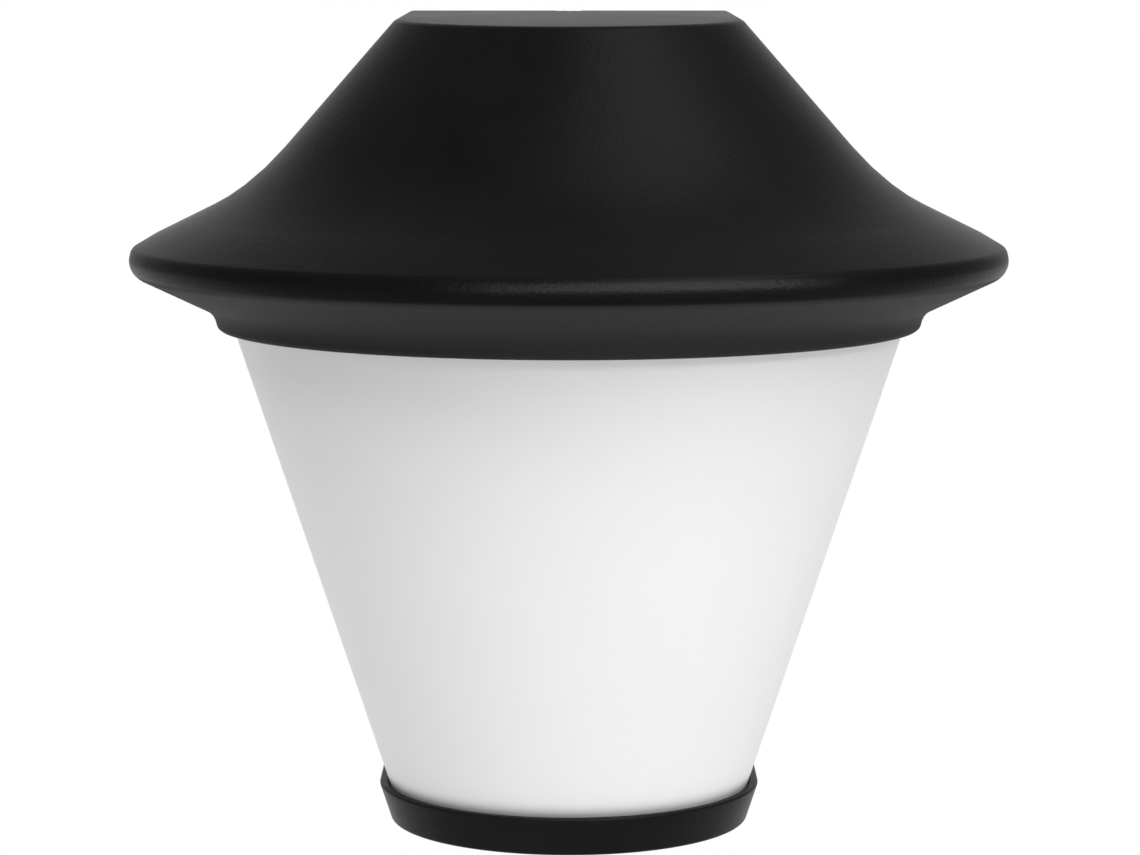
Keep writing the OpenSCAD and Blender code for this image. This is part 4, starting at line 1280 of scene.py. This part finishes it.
def arc(radius):
    """From the pole at the bottom of the globe up to its open rim."""
    last = math.acos((GLOBE_R - globe_tall) / radius)
    turns = [last * i / GLOBE_STEPS for i in range(GLOBE_STEPS + 1)]
    return [(radius * math.sin(turn), GLOBE_R - radius * math.cos(turn)) for turn in turns]


globe_outline = arc(GLOBE_R) + arc(GLOBE_R - GLOBE_WALL)[::-1]
globe_mesh = turned(globe_outline, ROUND_STEPS, to=(0, AXIS_Y, globe_foot))
round_edges(globe_mesh, GLOBE_EASE, lambda e: sharp(e, 60), 2)
stand_for("bulb_globe", globe_mesh, "bulb_round_globe")

TIP_R, tip_foot, tip_tall = round_size("bulb_tip")
blob = [(0, 0), (1, 0), (1, 0.25), (0.9, 0.55), (0.66, 0.82), (0.35, 0.96), (0, 1)]
tip_outline = [(TIP_R * out, tip_tall * high) for out, high in blob]
tip_mesh = turned(tip_outline, HEAD_STEPS, to=(0, AXIS_Y, tip_foot))
stand_for("bulb_tip", tip_mesh, "solder_tip")

# %% [markdown]
# ## World and lamps
# The picture is a studio one on white. The world is white to the camera and through clear things, and
# gives a quiet grey to plain surfaces, so that the colours render about as they are written. Mirror-like
# rays see the pale backdrop behind the light, and a dimmer room to the sides, above and in front, as a
# black coat shows in the photograph. Each lamp is placed by its azimuth and elevation as seen from the
# middle of the light. A broad one at the front right gives the shade its shape, with the brim's soft
# shadow across its top. A second stands high on the right, for the soft upright highlight on the hood.
# The fill on the left lifts the shade and leaves no highlight on the coat. A small strip close by does
# the opposite: it lights nothing, and only shows in the coat as the bright line along the lip. It is
# below the roof, so that the roof doesn't mirror it in a view from behind.

# %% World and lamps
WORLD_FILL = 0.22
ROOM_GLOSS = 0.33
BACKDROP = 0.77
BACKDROP_FROM, BACKDROP_FADE = 0.8, 0.16
world = bpy.data.worlds.new("studio")
world.use_nodes = True
bpy.context.scene.world = world
sky = Nodes(world.node_tree)
towards = sky.axis(sky.node("ShaderNodeTexCoord", {}, {}, out="Generated"), "Y")
backdrop = ((towards - BACKDROP_FROM) / BACKDROP_FADE).clamped()
mirror = sky.ray("Is Glossy Ray") * (backdrop * (BACKDROP - ROOM_GLOSS) + ROOM_GLOSS)
direct = sky.ray("Is Camera Ray").larger(sky.ray("Is Transmission Ray"))
strength = direct.larger(mirror) + (1 - sky.seen()) * WORLD_FILL
background = sky.node("ShaderNodeBackground", {}, {"Color": (1, 1, 1), "Strength": strength})
sky.node("ShaderNodeOutputWorld", {}, {"Surface": background})

MIDDLE = Vector((0, AXIS_Y, up(110)))
LAMP_AWAY = 1.6
LIP_FRONT = Vector((0, -110 * MM, up(153)))
STRIP_AWAY = 180 * MM


def soft_lamp(name, azimuth, elevation, width, height, watts, aim=MIDDLE, distance=LAMP_AWAY):
    """A rectangular lamp that faces aim, from azimuth degrees right of the front."""
    side, rise = math.radians(azimuth), math.radians(elevation)
    away = Vector((math.sin(side) * math.cos(rise), -math.cos(side) * math.cos(rise), math.sin(rise)))
    data = bpy.data.lights.new(name, "AREA")
    data.shape = "RECTANGLE"
    data.size = width
    data.size_y = height
    data.energy = watts
    lamp = linked(name, data)
    lamp.location = aim + away * distance
    lamp.rotation_euler = (-away).to_track_quat("-Z", "Y").to_euler()
    return lamp


soft_lamp("front right soft box", 31, 39, 1.2, 0.95, 22.5)
soft_lamp("high right soft box", 71, 67, 1.0, 0.9, 8.5)
left_fill = soft_lamp("left fill", -50, 52, 0.8, 0.8, 14)
left_fill.visible_glossy = False
lip_strip = soft_lamp("strip for the lip", 20, 10, 0.3, 0.044, 0.6, LIP_FRONT, STRIP_AWAY)
lip_strip.visible_camera = False
lip_strip.visible_diffuse = False
lip_strip.visible_transmission = False

# %% [markdown]
# ## Floor
# A plain pale floor lies well below the light, clear of the shade when it is dropped for a new bulb.
# Near the light it takes a soft shadow. Farther out it fades to the plain white of the background, but
# only for camera, mirror-like and see-through rays, so that no horizon shows and no light is added.
# From below it is clear, so that a view from there shows the foot.

# %% Floor
FLOOR_DOWN = 0.30
FLOOR_HALF = 6.0
NEAR_WHITE = 0.72
FADE_FROM = 0.45
FADE_TO = 0.95
floor_mesh = bmesh.new()
bmesh.ops.create_grid(floor_mesh, x_segments=1, y_segments=1, size=FLOOR_HALF)
bmesh.ops.translate(floor_mesh, verts=floor_mesh.verts, vec=(0, 0, FOOT_Z - FLOOR_DOWN))
floor = linked("floor", baked(floor_mesh, "floor"))
floor_finish = Finish("pale floor", Specular_IOR_Level=0.1)
mottle = floor_finish.noise(3, detail=4)
floor_tone = floor_finish.mix(mottle, (0.84, 0.84, 0.84), (0.88, 0.88, 0.88))
floor_finish.set(Base_Color=floor_tone, Roughness=0.8 + mottle * 0.1)
length = {"operation": "LENGTH"}
from_middle = floor_finish.node("ShaderNodeVectorMath", length, {0: floor_finish.place()}, out="Value")
fade = ((from_middle - FADE_FROM) / (FADE_TO - FADE_FROM)).clamped()
white = floor_finish.node("ShaderNodeEmission", {}, {"Color": (1, 1, 1), "Strength": 1.0})
share = floor_finish.seen() * (fade * (1 - NEAR_WHITE) + NEAR_WHITE)
both = floor_finish.node("ShaderNodeMixShader", {}, {0: share, 1: floor_finish.lit, 2: white})
clear = floor_finish.node("ShaderNodeBsdfTransparent", {}, {})
from_below = floor_finish.node("ShaderNodeNewGeometry", {}, {}, out="Backfacing")
both = floor_finish.node("ShaderNodeMixShader", {}, {0: from_below, 1: both, 2: clear})
floor_finish.feed(floor_finish.output.inputs["Surface"], both)
floor.data.materials.append(floor_finish.material)
print("floor", FLOOR_DOWN, "m below the foot")
